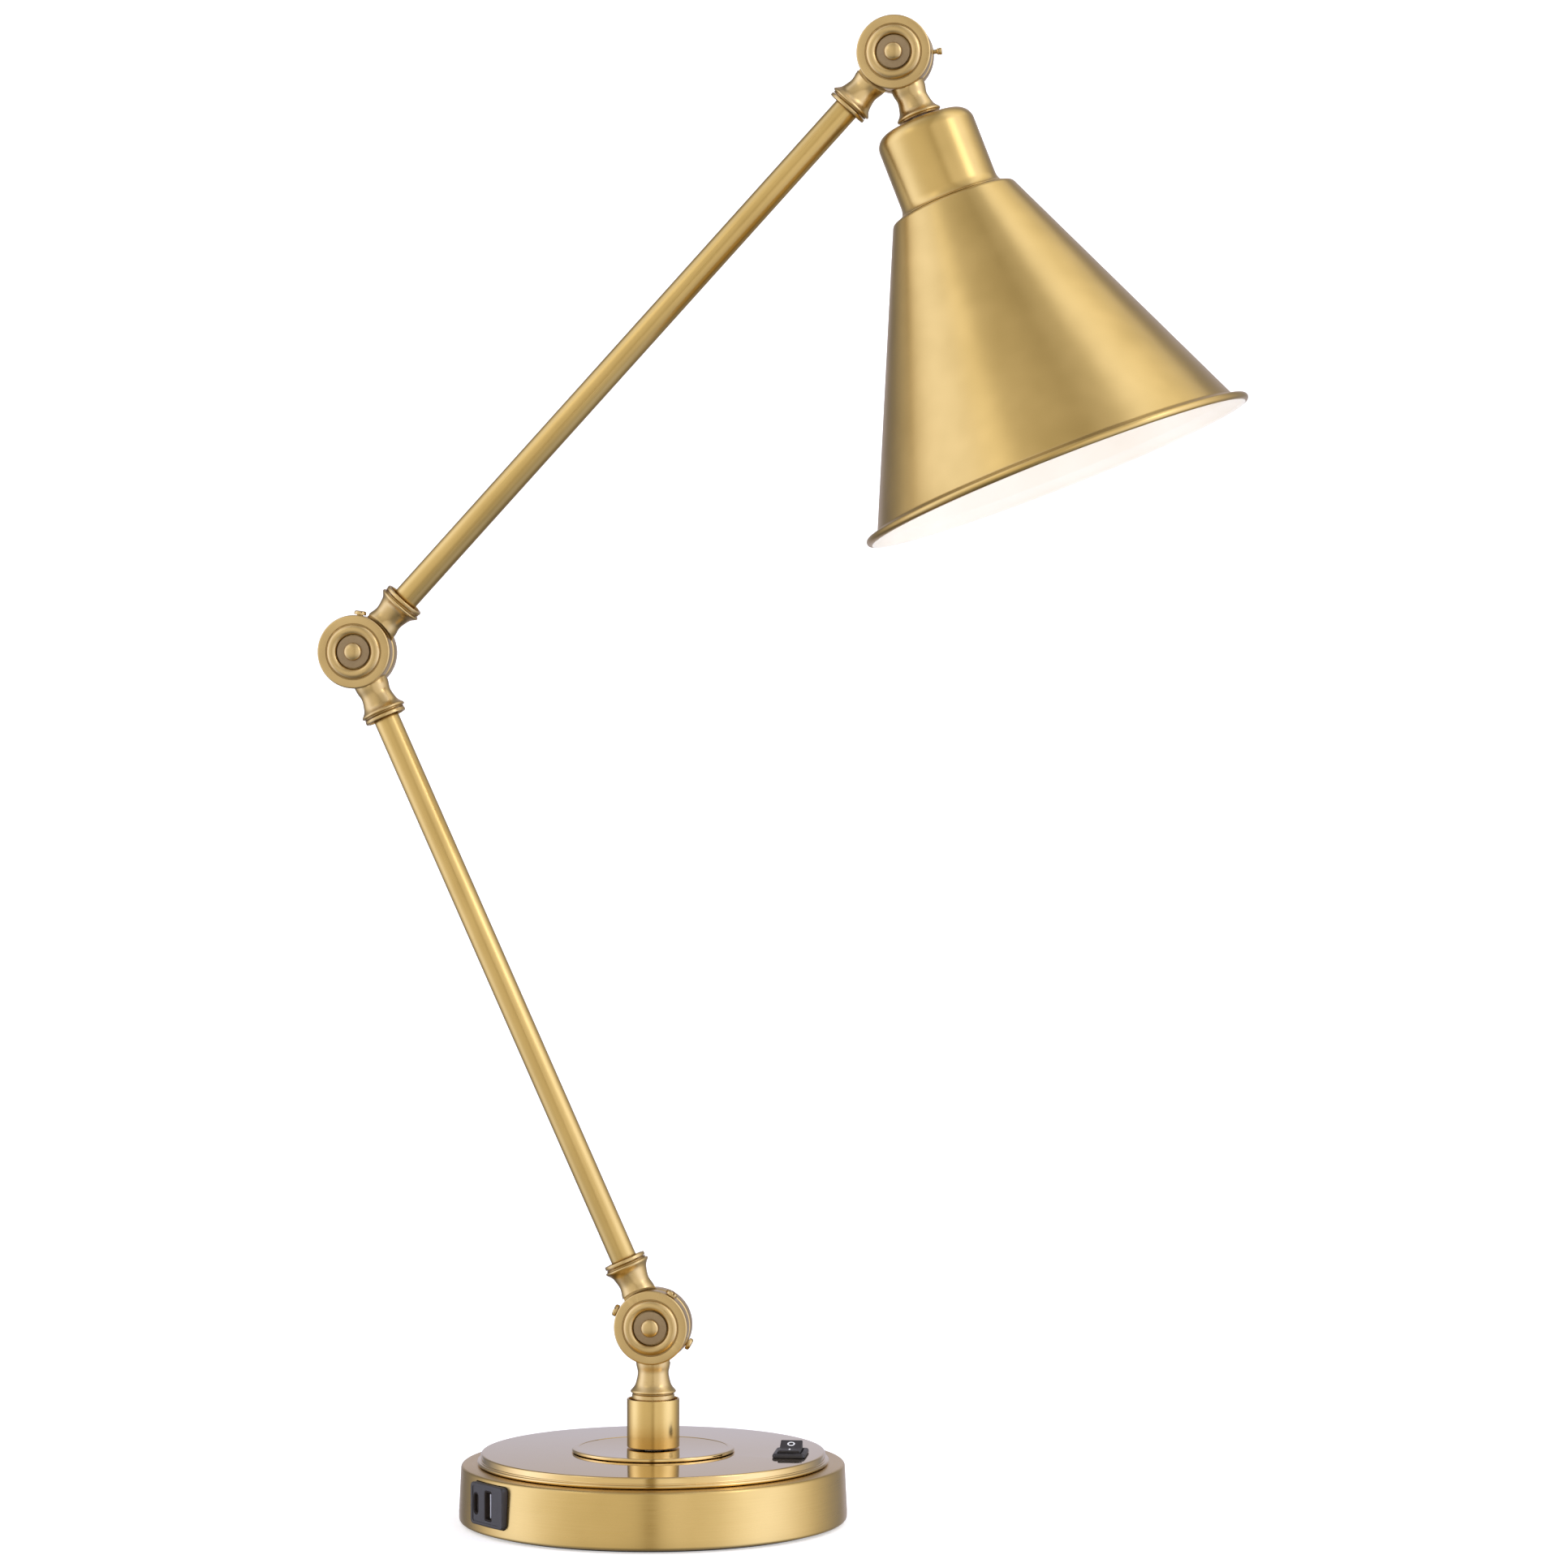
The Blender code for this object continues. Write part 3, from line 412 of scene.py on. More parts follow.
def middle_of(node: str) -> Vector:
    """The mean of a CAD node's points, in metres, which on a turned piece is on its axis."""
    points = [vertex.co for vertex in frame["nodes"][node].data.vertices]
    return sum(points, Vector()) / len(points)


def joint(name: str) -> dict:
    """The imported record's joint of this name."""
    return next(j for j in frame["joints"] if j["name"] == name)


def joint_at(name: str) -> Vector:
    """Where a joint is, in metres."""
    return Vector(joint(name)["pos_m"])


# Materials


class Brushing(Enum):
    """Which way the finishing lines run on a turned piece."""

    AROUND = "around"
    ALONG = "along"
    CAST = "cast"


class Graph:
    """A material's node tree, and short ways to add to it."""

    def __init__(self, name: str) -> None:
        """Starts a material with one Principled shader."""
        self.material = bpy.data.materials.new(name)
        self.material.use_nodes = True
        self.tree = self.material.node_tree
        self.shader = self.tree.nodes["Principled BSDF"]

    def add(self, kind: str, inputs: dict, **settings: object) -> bpy.types.Node:
        """Adds a node.

        Args:
            kind: The node's type, without ShaderNode.
            inputs: A socket to link, or a value, for each input's name or number.
            settings: The node's own settings.

        Returns:
            The node.
        """
        node = self.tree.nodes.new("ShaderNode" + kind)
        for name, value in settings.items():
            setattr(node, name, value)
        self.feed(node, inputs)
        return node

    def feed(self, node: bpy.types.Node, inputs: dict) -> None:
        """Links or sets a node's inputs."""
        for key, value in inputs.items():
            if isinstance(value, bpy.types.NodeSocket):
                self.tree.links.new(value, node.inputs[key])
            else:
                node.inputs[key].default_value = value

    def dress(self, **inputs: object) -> bpy.types.Material:
        """Feeds the shader, with _ for the spaces in its sockets' names, and gives the material."""
        self.feed(self.shader, {name.replace("_", " "): value for name, value in inputs.items()})
        return self.material

    def calculate(self, operation: str, *values: object) -> bpy.types.NodeSocket:
        """The result of one sum."""
        return self.add("Math", dict(enumerate(values)), operation=operation).outputs[0]

    def places(self, scale: float) -> bpy.types.NodeSocket:
        """The piece's own coordinates, in millimetres times a scale."""
        own = self.add("TexCoord", {}).outputs["Object"]
        scaled = self.add("VectorMath", {0: own, "Scale": scale / MM}, operation="SCALE")
        return scaled.outputs[0]

    def turned_places(self, around: float, along: float) -> bpy.types.NodeSocket:
        """Coordinates that close on themselves round a turned piece.

        Args:
            around: How fast they change round the axis.
            along: How fast they change along the outline, per millimetre.

        Returns:
            The vector socket.
        """
        parts = self.add("SeparateXYZ", {0: self.add("TexCoord", {}).outputs["UV"]}).outputs
        x = self.calculate("MULTIPLY", self.calculate("COSINE", parts[0]), around)
        y = self.calculate("MULTIPLY", self.calculate("SINE", parts[0]), around)
        z = self.calculate("MULTIPLY", parts[1], along)
        return self.add("CombineXYZ", {0: x, 1: y, 2: z}).outputs[0]

    def noise(self, vector: bpy.types.NodeSocket, detail: float = 3.0) -> bpy.types.NodeSocket:
        """A noise's value from 0 to 1."""
        inputs = {"Vector": vector, "Scale": 1.0, "Detail": detail, "Roughness": 0.6}
        return self.add("TexNoise", inputs).outputs[0]

    def spread(
        self, value: bpy.types.NodeSocket, low: float, high: float, start: float = 0.3, end: float = 0.7
    ) -> bpy.types.NodeSocket:
        """A value between start and end brought to between low and high."""
        inputs = {"Value": value, "From Min": start, "From Max": end, "To Min": low, "To Max": high}
        return self.add("MapRange", inputs).outputs[0]

    def blend(self, factor: object, first: object, second: object) -> bpy.types.NodeSocket:
        """A colour between two others."""
        colours = [(*c, 1.0) if isinstance(c, tuple) else c for c in (first, second)]
        inputs = {0: factor, 6: colours[0], 7: colours[1]}
        return self.add("Mix", inputs, data_type="RGBA").outputs[2]

    def relief(self, height: bpy.types.NodeSocket, depth: float, strength: float) -> bpy.types.NodeSocket:
        """A bump of this depth in millimetres."""
        inputs = {"Height": height, "Distance": depth * MM, "Strength": strength}
        return self.add("Bump", inputs).outputs[0]


@dataclass(frozen=True)
class Metal:
    """A metal finish with brushed lines or a cast grain, tarnish, edges lightened as rubbed wear and as a painted
    highlight, and painted shade in its crevices.
    """

    name: str
    light: Colour
    dark: Colour
    roughness: float
    uneven: float = 0.06
    brushing: Brushing = Brushing.CAST
    around: float = 2.5
    along: float = 1.4
    relief: float = 0.01
    stretch: float = 0.0
    lacquer: float = 0.0
    # How much the edges are lightened, as rubbed wear and as a painted highlight, and how much the crevices are
    # darkened with painted shade.
    edge_wear_and_crevice_shade: float = 0.0
    metallic: float = 1.0
    streak: float = 0.5
    lacquer_roughness: float = 0.2
    grain: float = 0.6
    cloud: float = 0.035

    def material(self) -> bpy.types.Material:
        """Builds the finish's nodes."""
        graph = Graph(self.name)
        if self.brushing is Brushing.CAST:
            lines = graph.noise(graph.places(self.grain), detail=6.0)
        else:
            lines = graph.noise(graph.turned_places(self.around, self.along), detail=4.0)
        clouds = graph.noise(graph.places(self.cloud), detail=2.0)
        streaks, stains = graph.spread(lines, 0.0, self.streak), graph.spread(clouds, 0.0, 1 - self.streak)
        patina = graph.calculate("ADD", streaks, stains)
        colour = graph.blend(patina, self.dark, self.light)
        # Edges found by pointiness are lightened, partly as wear and partly as a painted highlight; crevices are
        # darkened towards a painted shadow colour.
        if self.edge_wear_and_crevice_shade:
            edge = graph.add("NewGeometry", {}).outputs["Pointiness"]
            bright = graph.spread(edge, 0.0, self.edge_wear_and_crevice_shade, *EDGE_BAND)
            crevice_shade_mask = graph.spread(edge, self.edge_wear_and_crevice_shade, 0.0, *CREVICE_BAND)
            colour = graph.blend(bright, colour, self.light)
            shadow = tuple(CREVICE_SHADE * c for c in self.dark)
            colour = graph.blend(crevice_shade_mask, colour, shadow)
        rough = graph.spread(lines, self.roughness - self.uneven, self.roughness + self.uneven)
        if self.stretch:
            way = graph.add("Tangent", {}, direction_type="UV_MAP", uv_map="turn")
            graph.feed(graph.shader, {"Tangent": way.outputs[0]})
        return graph.dress(
            Base_Color=colour,
            Metallic=self.metallic,
            Roughness=rough,
            Anisotropic=self.stretch,
            Anisotropic_Rotation=QUARTER_TURN if self.brushing is Brushing.AROUND else 0.0,
            Coat_Weight=self.lacquer,
            Coat_Roughness=self.lacquer_roughness,
            Normal=graph.relief(lines, self.relief, 0.5),
        )


@dataclass(frozen=True)
class Moulded:
    """A moulded plastic, rubber, felt or board: a fine grain in one colour that varies a little."""

    name: str
    light: Colour
    dark: Colour
    roughness: float
    grain: float = 3.0
    relief: float = 0.02
    gloss: float = 0.5
    sheen: float = 0.0
    uneven: float = 0.05
    cloud: float = 0.08

    def material(self) -> bpy.types.Material:
        """Builds the finish's nodes."""
        graph = Graph(self.name)
        grain = graph.noise(graph.places(self.grain))
        clouds = graph.noise(graph.places(self.cloud), detail=2.0)
        shade = graph.calculate("ADD", graph.spread(grain, 0.0, 0.5), graph.spread(clouds, 0.0, 0.5))
        return graph.dress(
            Base_Color=graph.blend(shade, self.dark, self.light),
            Roughness=graph.spread(clouds, self.roughness - self.uneven, self.roughness + self.uneven),
            Specular_IOR_Level=self.gloss,
            Sheen_Weight=self.sheen,
            Normal=graph.relief(grain, self.relief, 0.6),
        )


@dataclass(frozen=True)
class Enamel:
    """Warm white stove enamel with a faint orange-peel surface and a faint painted glow that brightens the inside
    of the shade.
    """

    name: str = "cream_enamel"
    light: Colour = (0.87, 0.825, 0.75)
    dark: Colour = (0.83, 0.775, 0.69)
    roughness: tuple[float, float] = (0.3, 0.4)
    # A painted glow: the enamel gives off a little light of its own.
    glow: float = 0.07
    peel: float = 0.5
    cloud: float = 0.02

    def material(self) -> bpy.types.Material:
        """Builds the finish's nodes."""
        graph = Graph(self.name)
        peel = graph.noise(graph.places(self.peel), detail=1.0)
        clouds = graph.noise(graph.places(self.cloud), detail=2.0)
        return graph.dress(
            Base_Color=graph.blend(graph.spread(clouds, 0.0, 1.0), self.dark, self.light),
            Roughness=graph.spread(peel, *self.roughness),
            # Painted light: the enamel glows faintly in its own light colour.
            Emission_Color=(*self.light, 1.0),
            Emission_Strength=self.glow,
            Normal=graph.relief(peel, 0.02, 0.3),
        )


@dataclass(frozen=True)
class FrostedGlass:
    """The bulb's frosted envelope, lit from inside."""

    name: str = "frosted_glass"
    light: Colour = (0.97, 0.94, 0.88)
    dark: Colour = (0.92, 0.87, 0.78)
    roughness: tuple[float, float] = (0.35, 0.5)
    glow: float = 0.4
    glow_colour: Colour = (1.0, 0.85, 0.62)
    clear: float = 0.2
    frost: float = 2.0

    def material(self) -> bpy.types.Material:
        """Builds the finish's nodes."""
        graph = Graph(self.name)
        frost = graph.noise(graph.places(self.frost))
        return graph.dress(
            Base_Color=graph.blend(frost, self.dark, self.light),
            Roughness=graph.spread(frost, *self.roughness),
            Transmission_Weight=self.clear,
            Emission_Color=(*self.glow_colour, 1.0),
            Emission_Strength=self.glow,
            Normal=graph.relief(frost, 0.01, 0.4),
        )


BRASS_LIGHT = (0.70, 0.485, 0.158)
BRASS_DARK = (0.60, 0.41, 0.125)

FINISHES = (
    Metal("brushed_brass", BRASS_LIGHT, BRASS_DARK, 0.30, uneven=0.04, brushing=Brushing.AROUND, around=2.5,
          along=1.3, relief=0.006, stretch=0.75, lacquer=0.3),
    Metal("polished_brass", BRASS_LIGHT, (0.68, 0.46, 0.15), 0.07, uneven=0.01, brushing=Brushing.AROUND,
          around=4.0, along=0.4, relief=0.001, lacquer=1.0, lacquer_roughness=0.05, streak=0.3),
    Metal("sleeve_brass", BRASS_LIGHT, BRASS_DARK, 0.22, uneven=0.02, brushing=Brushing.ALONG, around=14.0,
          along=0.01, relief=0.001, stretch=0.3, lacquer=0.3, streak=0.15),
    Metal("satin_brass", BRASS_LIGHT, BRASS_DARK, 0.33, uneven=0.02, brushing=Brushing.AROUND, around=1.2,
          along=2.2, relief=0.0015, stretch=0.6, lacquer=0.2, streak=0.12),
    Metal("satin_tube_brass", BRASS_LIGHT, BRASS_DARK, 0.3, uneven=0.04, brushing=Brushing.ALONG, around=9.0,
          along=0.02, relief=0.004, stretch=0.5, lacquer=0.3, streak=0.45),
    # The antique and dull brass get a painted highlight with wear on their edges and painted shade in their
    # crevices.
    Metal("antique_brass", (0.71, 0.51, 0.21), (0.50, 0.345, 0.13), 0.31, uneven=0.05, relief=0.008,
          lacquer=0.15, edge_wear_and_crevice_shade=0.9, streak=0.2),
    Metal("dull_brass", (0.42, 0.31, 0.17), (0.30, 0.21, 0.11), 0.5, relief=0.03, edge_wear_and_crevice_shade=0.3, metallic=0.9),
    Metal("blackened_steel", (0.05, 0.034, 0.024), (0.02, 0.014, 0.01), 0.7, relief=0.03, metallic=0.3),
    Metal("zinc_steel", (0.62, 0.62, 0.60), (0.45, 0.45, 0.44), 0.3, relief=0.01),
    Metal("cast_iron", (0.10, 0.10, 0.105), (0.05, 0.05, 0.055), 0.7, relief=0.15, metallic=0.6),
    Moulded("black_plastic", (0.032, 0.027, 0.026), (0.022, 0.019, 0.018), 0.42, grain=2.5),
    Moulded("lead_cover", (0.02, 0.02, 0.02), (0.012, 0.012, 0.012), 0.55),
    Moulded("black_rubber", (0.022, 0.022, 0.022), (0.014, 0.014, 0.014), 0.75, grain=1.5),
    Moulded("black_felt", (0.030, 0.029, 0.028), (0.012, 0.012, 0.012), 0.95, grain=4.0, relief=0.2,
            gloss=0.1, sheen=0.4),
    Moulded("nylon", (0.80, 0.77, 0.68), (0.74, 0.70, 0.60), 0.45),
    Moulded("circuit_board", (0.03, 0.16, 0.07), (0.02, 0.11, 0.05), 0.4, grain=0.8),
    Moulded("white_print", (0.98, 0.98, 0.97), (0.94, 0.94, 0.93), 0.5),
    Moulded("gilt_contact", (0.72, 0.52, 0.18), (0.60, 0.42, 0.14), 0.3),
    Enamel(),
    FrostedGlass("bulb_glass"),
)


class Workshop:
    """Dresses meshes, puts them in place, and ties them to the CAD frame."""

    def __init__(self) -> None:
        """Builds every finish once."""
        self.finishes = {finish.name: finish.material() for finish in FINISHES}
        self.made: list[str] = []

    def piece(
        self,
        name: str,
        mesh: bpy.types.Mesh,
        body: str,
        finish: str,
        place: Matrix = Matrix(),
        nodes: Sequence[str] = (),
        slot: str | None = None,
    ) -> bpy.types.Object:
        """Makes one visible piece.

        Args:
            name: Its name.
            mesh: Its mesh, in its own frame.
            body: The CAD body that it moves with.
            finish: The finish's name.
            place: Where its own frame is.
            nodes: The CAD nodes that it stands for.
            slot: The record's material slot, where that isn't the finish's name. Not used.

        Returns:
            The piece.
        """
        mesh.name = name
        mesh.materials.clear()
        mesh.materials.append(self.finishes[finish])
        mesh.transform(place)
        piece = bpy.data.objects.new(name, mesh)
        bpy.context.scene.collection.objects.link(piece)
        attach(piece, body)
        if nodes:
            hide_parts(*nodes)
        self.made.append(name)
        LOG.info("%s: %d faces in %s, rides on %s", name, len(mesh.polygons), finish, body)
        return piece

    def dress_frame(self) -> None:
        """Gives every CAD node that still shows its finish."""
        for part in frame["record"]["subparts"]:
            node = frame["nodes"][part["node"]]
            node.data.materials.clear()
            node.data.materials.append(self.finishes[part["material_slot"]])


# The lamp


@dataclass
class Base:
    """The weighted round base: housing, moulded top plate, flange disc, post sleeve and pad."""

    shop: Workshop
    foot_round: float = 1.6
    shoulder_round: float = 1.4
    draft: float = 1.0
    wall: float = 3.3
    roof: float = 2.0
    lead_hole: float = 5.3
    gap: float = 0.3
    straight_foot: float = 4.5
    cable_hole: float = 5.7
    reach: float = 9.0
    moulding_radius: float = 79.1
    moulding_width: float = 4.0
    bead: float = 0.85
    step_out: float = 0.55
    step_height: float = 0.3
    cove: float = 0.5
    plate_round: float = 1.0
    plate_skin: float = 1.6
    dish: float = 0.2
    dish_edge: float = 3.2
    sleeve_wall: float = 0.9
    sleeve_floor: float = 3.0
    bush_bore: float = 3.8
    body: str = "base"

    def build(self) -> None:
        """Builds and dresses every piece of the base."""
        self.housing()
        self.top_plate()
        self.flange()
        self.sleeve()
        self.pad()
        self.inlet()

    def housing(self) -> None:
        """The spun housing, open for the ports and the cable in its wall and for the switch in its roof."""
        foot, top = low("base_housing").z, high("base_housing").z
        outer = high("base_housing").x
        inner = outer - self.wall
        mesh = turned(rounded([
            (inner, foot, 0),
            (outer, foot, self.foot_round),
            (outer, foot + self.straight_foot, 0),
            (outer - self.draft, top, self.shoulder_round),
            (self.lead_hole, top, 0),
            (self.lead_hole, top - self.roof, 0),
            (inner, top - self.roof, 0.5),
        ], 6), BASE_FACES)
        panel = PortPanel(self.shop)
        window = block(panel.width + 2 * self.gap, panel.height + 2 * self.gap, panel.corner,
                       inner - self.reach, outer + self.reach)
        mesh = combine(mesh, moved(window, panel.place()), "DIFFERENCE")
        hole = rod(self.cable_hole, inner - self.reach, outer + self.reach)
        mesh = combine(mesh, moved(hole, self.inlet_place()), "DIFFERENCE")
        mesh = combine(mesh, RockerSwitch(self.shop).opening(), "DIFFERENCE")
        self.shop.piece("base_shell", mesh, self.body, "brushed_brass", nodes=["base_housing"])
        panel.build()

    def top_plate(self) -> None:
        """The polished plate, with a rounded edge, a cove, a step and a bead round it."""
        bottom, top = low("top_plate").z, high("top_plate").z
        edge = self.moulding_radius
        skin, inside = top - self.plate_skin, edge - self.moulding_width
        outline = [(self.lead_hole, skin), (inside, skin), (inside, bottom)]
        outline += arc((edge + self.bead, bottom + self.bead), self.bead, -90, 90)
        step = bottom + 2 * self.bead
        cove = step + self.step_height
        outline += [(edge + self.step_out, step), (edge + self.step_out, cove)]
        outline += arc((edge + self.cove, cove + self.cove), self.cove, 270, 180, 6)
        outline += arc((edge - self.plate_round, top - self.plate_round), self.plate_round, 0, 90, 8)
        outline += [(self.lead_hole, top)]
        mesh = turned(outline, BASE_FACES)
        switch = RockerSwitch(self.shop)
        mesh = combine(mesh, switch.opening(), "DIFFERENCE")
        self.shop.piece("base_top_plate", mesh, self.body, "polished_brass", nodes=["top_plate"])
        switch.build()

    def flange(self) -> None:
        """The thin disc under the post."""
        bottom, top, radius = low("flange_disc").z, high("flange_disc").z, high("flange_disc").x
        rim, dish = radius - self.dish_edge, top - self.dish
        mesh = turned(rounded([
            (self.lead_hole, bottom, 0), (radius, bottom, 0.3), (radius, top, 0.6), (rim, top, 0.2),
            (rim - self.dish, dish, 0.2), (self.lead_hole, dish, 0),
        ]), DISC_FACES)
        self.shop.piece("base_flange", mesh, self.body, "polished_brass", nodes=["flange_disc"],
                        slot="brushed_brass")

    def sleeve(self) -> None:
        """The sleeve that the swivelling collar turns in."""
        bottom, top, radius = low("post_sleeve").z, high("post_sleeve").z, high("post_sleeve").x
        bore, floor = radius - self.sleeve_wall, bottom + self.sleeve_floor
        mesh = turned(rounded([
            (self.lead_hole, bottom, 0), (radius, bottom, 0.3), (radius, top, 0.35), (bore, top, 0.35),
            (bore, floor, 0.3), (self.lead_hole, floor, 0),
        ], 4))
        self.shop.piece("post_tube", mesh, self.body, "sleeve_brass", nodes=["post_sleeve"],
                        slot="brushed_brass")

    def pad(self) -> None:
        """The felt pad, with a soft edge."""
        top, radius = high("felt_pad").z, high("felt_pad").x
        mesh = turned(rounded([(0, 0, 0), (radius, 0, 0.5), (radius, top, 0.3), (0, top, 0)], 4), DISC_FACES)
        self.shop.piece("base_pad", mesh, self.body, "black_felt", nodes=["felt_pad"])

    def inlet_place(self) -> Matrix:
        """The cable inlet's frame, with Z out of the back of the base."""
        return shift(z=middle_of("cable_inlet").z / MM) @ turn(-90, "X")

    def inlet(self) -> None:
        """The rubber bush at the back, with a stepped flange."""
        start, end = low("cable_inlet").y, high("cable_inlet").y
        outer = high("base_housing").x + self.gap
        inner = outer - self.wall - 3 * self.gap
        neck = self.cable_hole - self.gap
        mesh = turned(rounded([
            (self.bush_bore, start, 0.3), (6.9, start, 0.4), (6.9, inner, 0.2), (neck, inner, 0),
            (neck, outer, 0), (7.3, outer, 0.2), (7.3, outer + 0.9, 0.3), (6.5, outer + 1.1, 0.2),
            (5.9, end, 0.5), (self.bush_bore, end, 0.5),
        ], 4), SMALL_FACES)
        self.shop.piece("cable_bush", mesh, self.body, "black_rubber", self.inlet_place(), ["cable_inlet"])


@dataclass
class PortPanel:
    """The charging ports in the base wall: a panel, a tall port with its tongue, and a small one."""

    shop: Workshop
    width: float = 27.0
    height: float = 19.0
    corner: float = 2.2
    thickness: float = 6.3
    edge_round: float = 0.7
    frame_line: tuple[float, float, float] = (4.0, 3.0, 1.2)
    line_depth: float = 0.25
    tall_port: tuple[float, float, float] = (5.1, 12.5, 1.5)
    tall_tongue: tuple[float, float, float] = (1.1, 10.9, 0.35)
    tall_contact: tuple[float, float, float] = (0.25, 1.1, 2.5)
    tall_contacts: int = 4
    small_port: tuple[float, float, float] = (3.2, 8.9, -8.8)
    small_tongue: tuple[float, float, float] = (0.8, 6.7, 0.0)
    small_contact: tuple[float, float, float] = (0.12, 0.35, 1.0)
    small_contacts: int = 6
    shell: float = 0.3
    recess: float = 0.3
    depth: float = 14.0
    proud: float = 1.2
    body: str = "base"

    def place(self) -> Matrix:
        """The panel's frame: X to the right seen from outside, Y up, Z out of the wall."""
        board = middle_of("port_board")
        facing = math.degrees(math.atan2(board.y, board.x))
        return Matrix.Translation((0, 0, board.z)) @ turn(facing + 90, "Z") @ turn(90, "X")

    def build(self) -> None:
        """Builds the panel and both ports."""
        face = high("base_housing").x + self.proud
        front, back = face - self.recess, face - self.depth
        place = self.place()
        panel = block(self.width, self.height, self.corner, face - self.thickness, face)
        panel = eased(panel, self.edge_round, 4)
        side, end, corner = self.frame_line
        line = block(self.width - side, self.height - end, corner, face - self.line_depth, face + 1)
        panel = combine(panel, line, "DIFFERENCE")
        for name, (width, height, offset), share, node in (
            ("tall_port", self.tall_port, 0.1, "usb_a_port"),
            ("small_port", self.small_port, 0.5, "usb_c_port"),
        ):
            growths = (0, self.shell, 2 * self.shell)
            hollow, shell, hole = (self.outline(width, height, share, offset, growth) for growth in growths)
            panel = combine(panel, lofted([level(hole, back), level(hole, face + 1)]), "DIFFERENCE")
            rings = [level(hollow, back + 1), level(hollow, front), level(shell, front), level(shell, back)]
            self.shop.piece(name, lofted(rings), self.body, "blackened_steel", place, [node],
                            slot="zinc_steel")
            self.tongue(name, offset, front, back)
        self.shop.piece("port_panel", panel, self.body, "black_plastic", place, ["port_plate"])

    def outline(self, width: float, height: float, share: float, offset: float, growth: float) -> list[Point]:
        """A port's outline, grown by this much on every side."""
        corner = min(width * share + growth, width / 2 + growth - 0.01)
        return rounded_box(width + 2 * growth, height + 2 * growth, corner, (offset, 0))

    def tongue(self, name: str, offset: float, front: float, back: float) -> None:
        """The tongue in a port, with its row of contacts."""
        if name == "tall_port":
            (thick, reach, aside), finish, nodes = self.tall_tongue, "zinc_steel", ["usb_a_tongue"]
            (contact, length, pitch), count = self.tall_contact, self.tall_contacts
        else:
            (thick, reach, aside), finish, nodes = self.small_tongue, "black_plastic", []
            (contact, length, pitch), count = self.small_contact, self.small_contacts
        side = offset + aside
        mesh = eased(block(thick, reach, 0.2, back + 1.3, front - 1, (side, 0)), 0.12, 2)
        self.shop.piece(f"{name}_tongue", mesh, self.body, finish, self.place(), nodes)
        for number in range(count):
            middle = (side - thick / 2, (number - (count - 1) / 2) * pitch)
            strip = block(contact, length, 0.05, back + 3, front - 1.6, middle)
            self.shop.piece(f"{name}_contact_{number + 1}", strip, self.body, "gilt_contact", self.place())


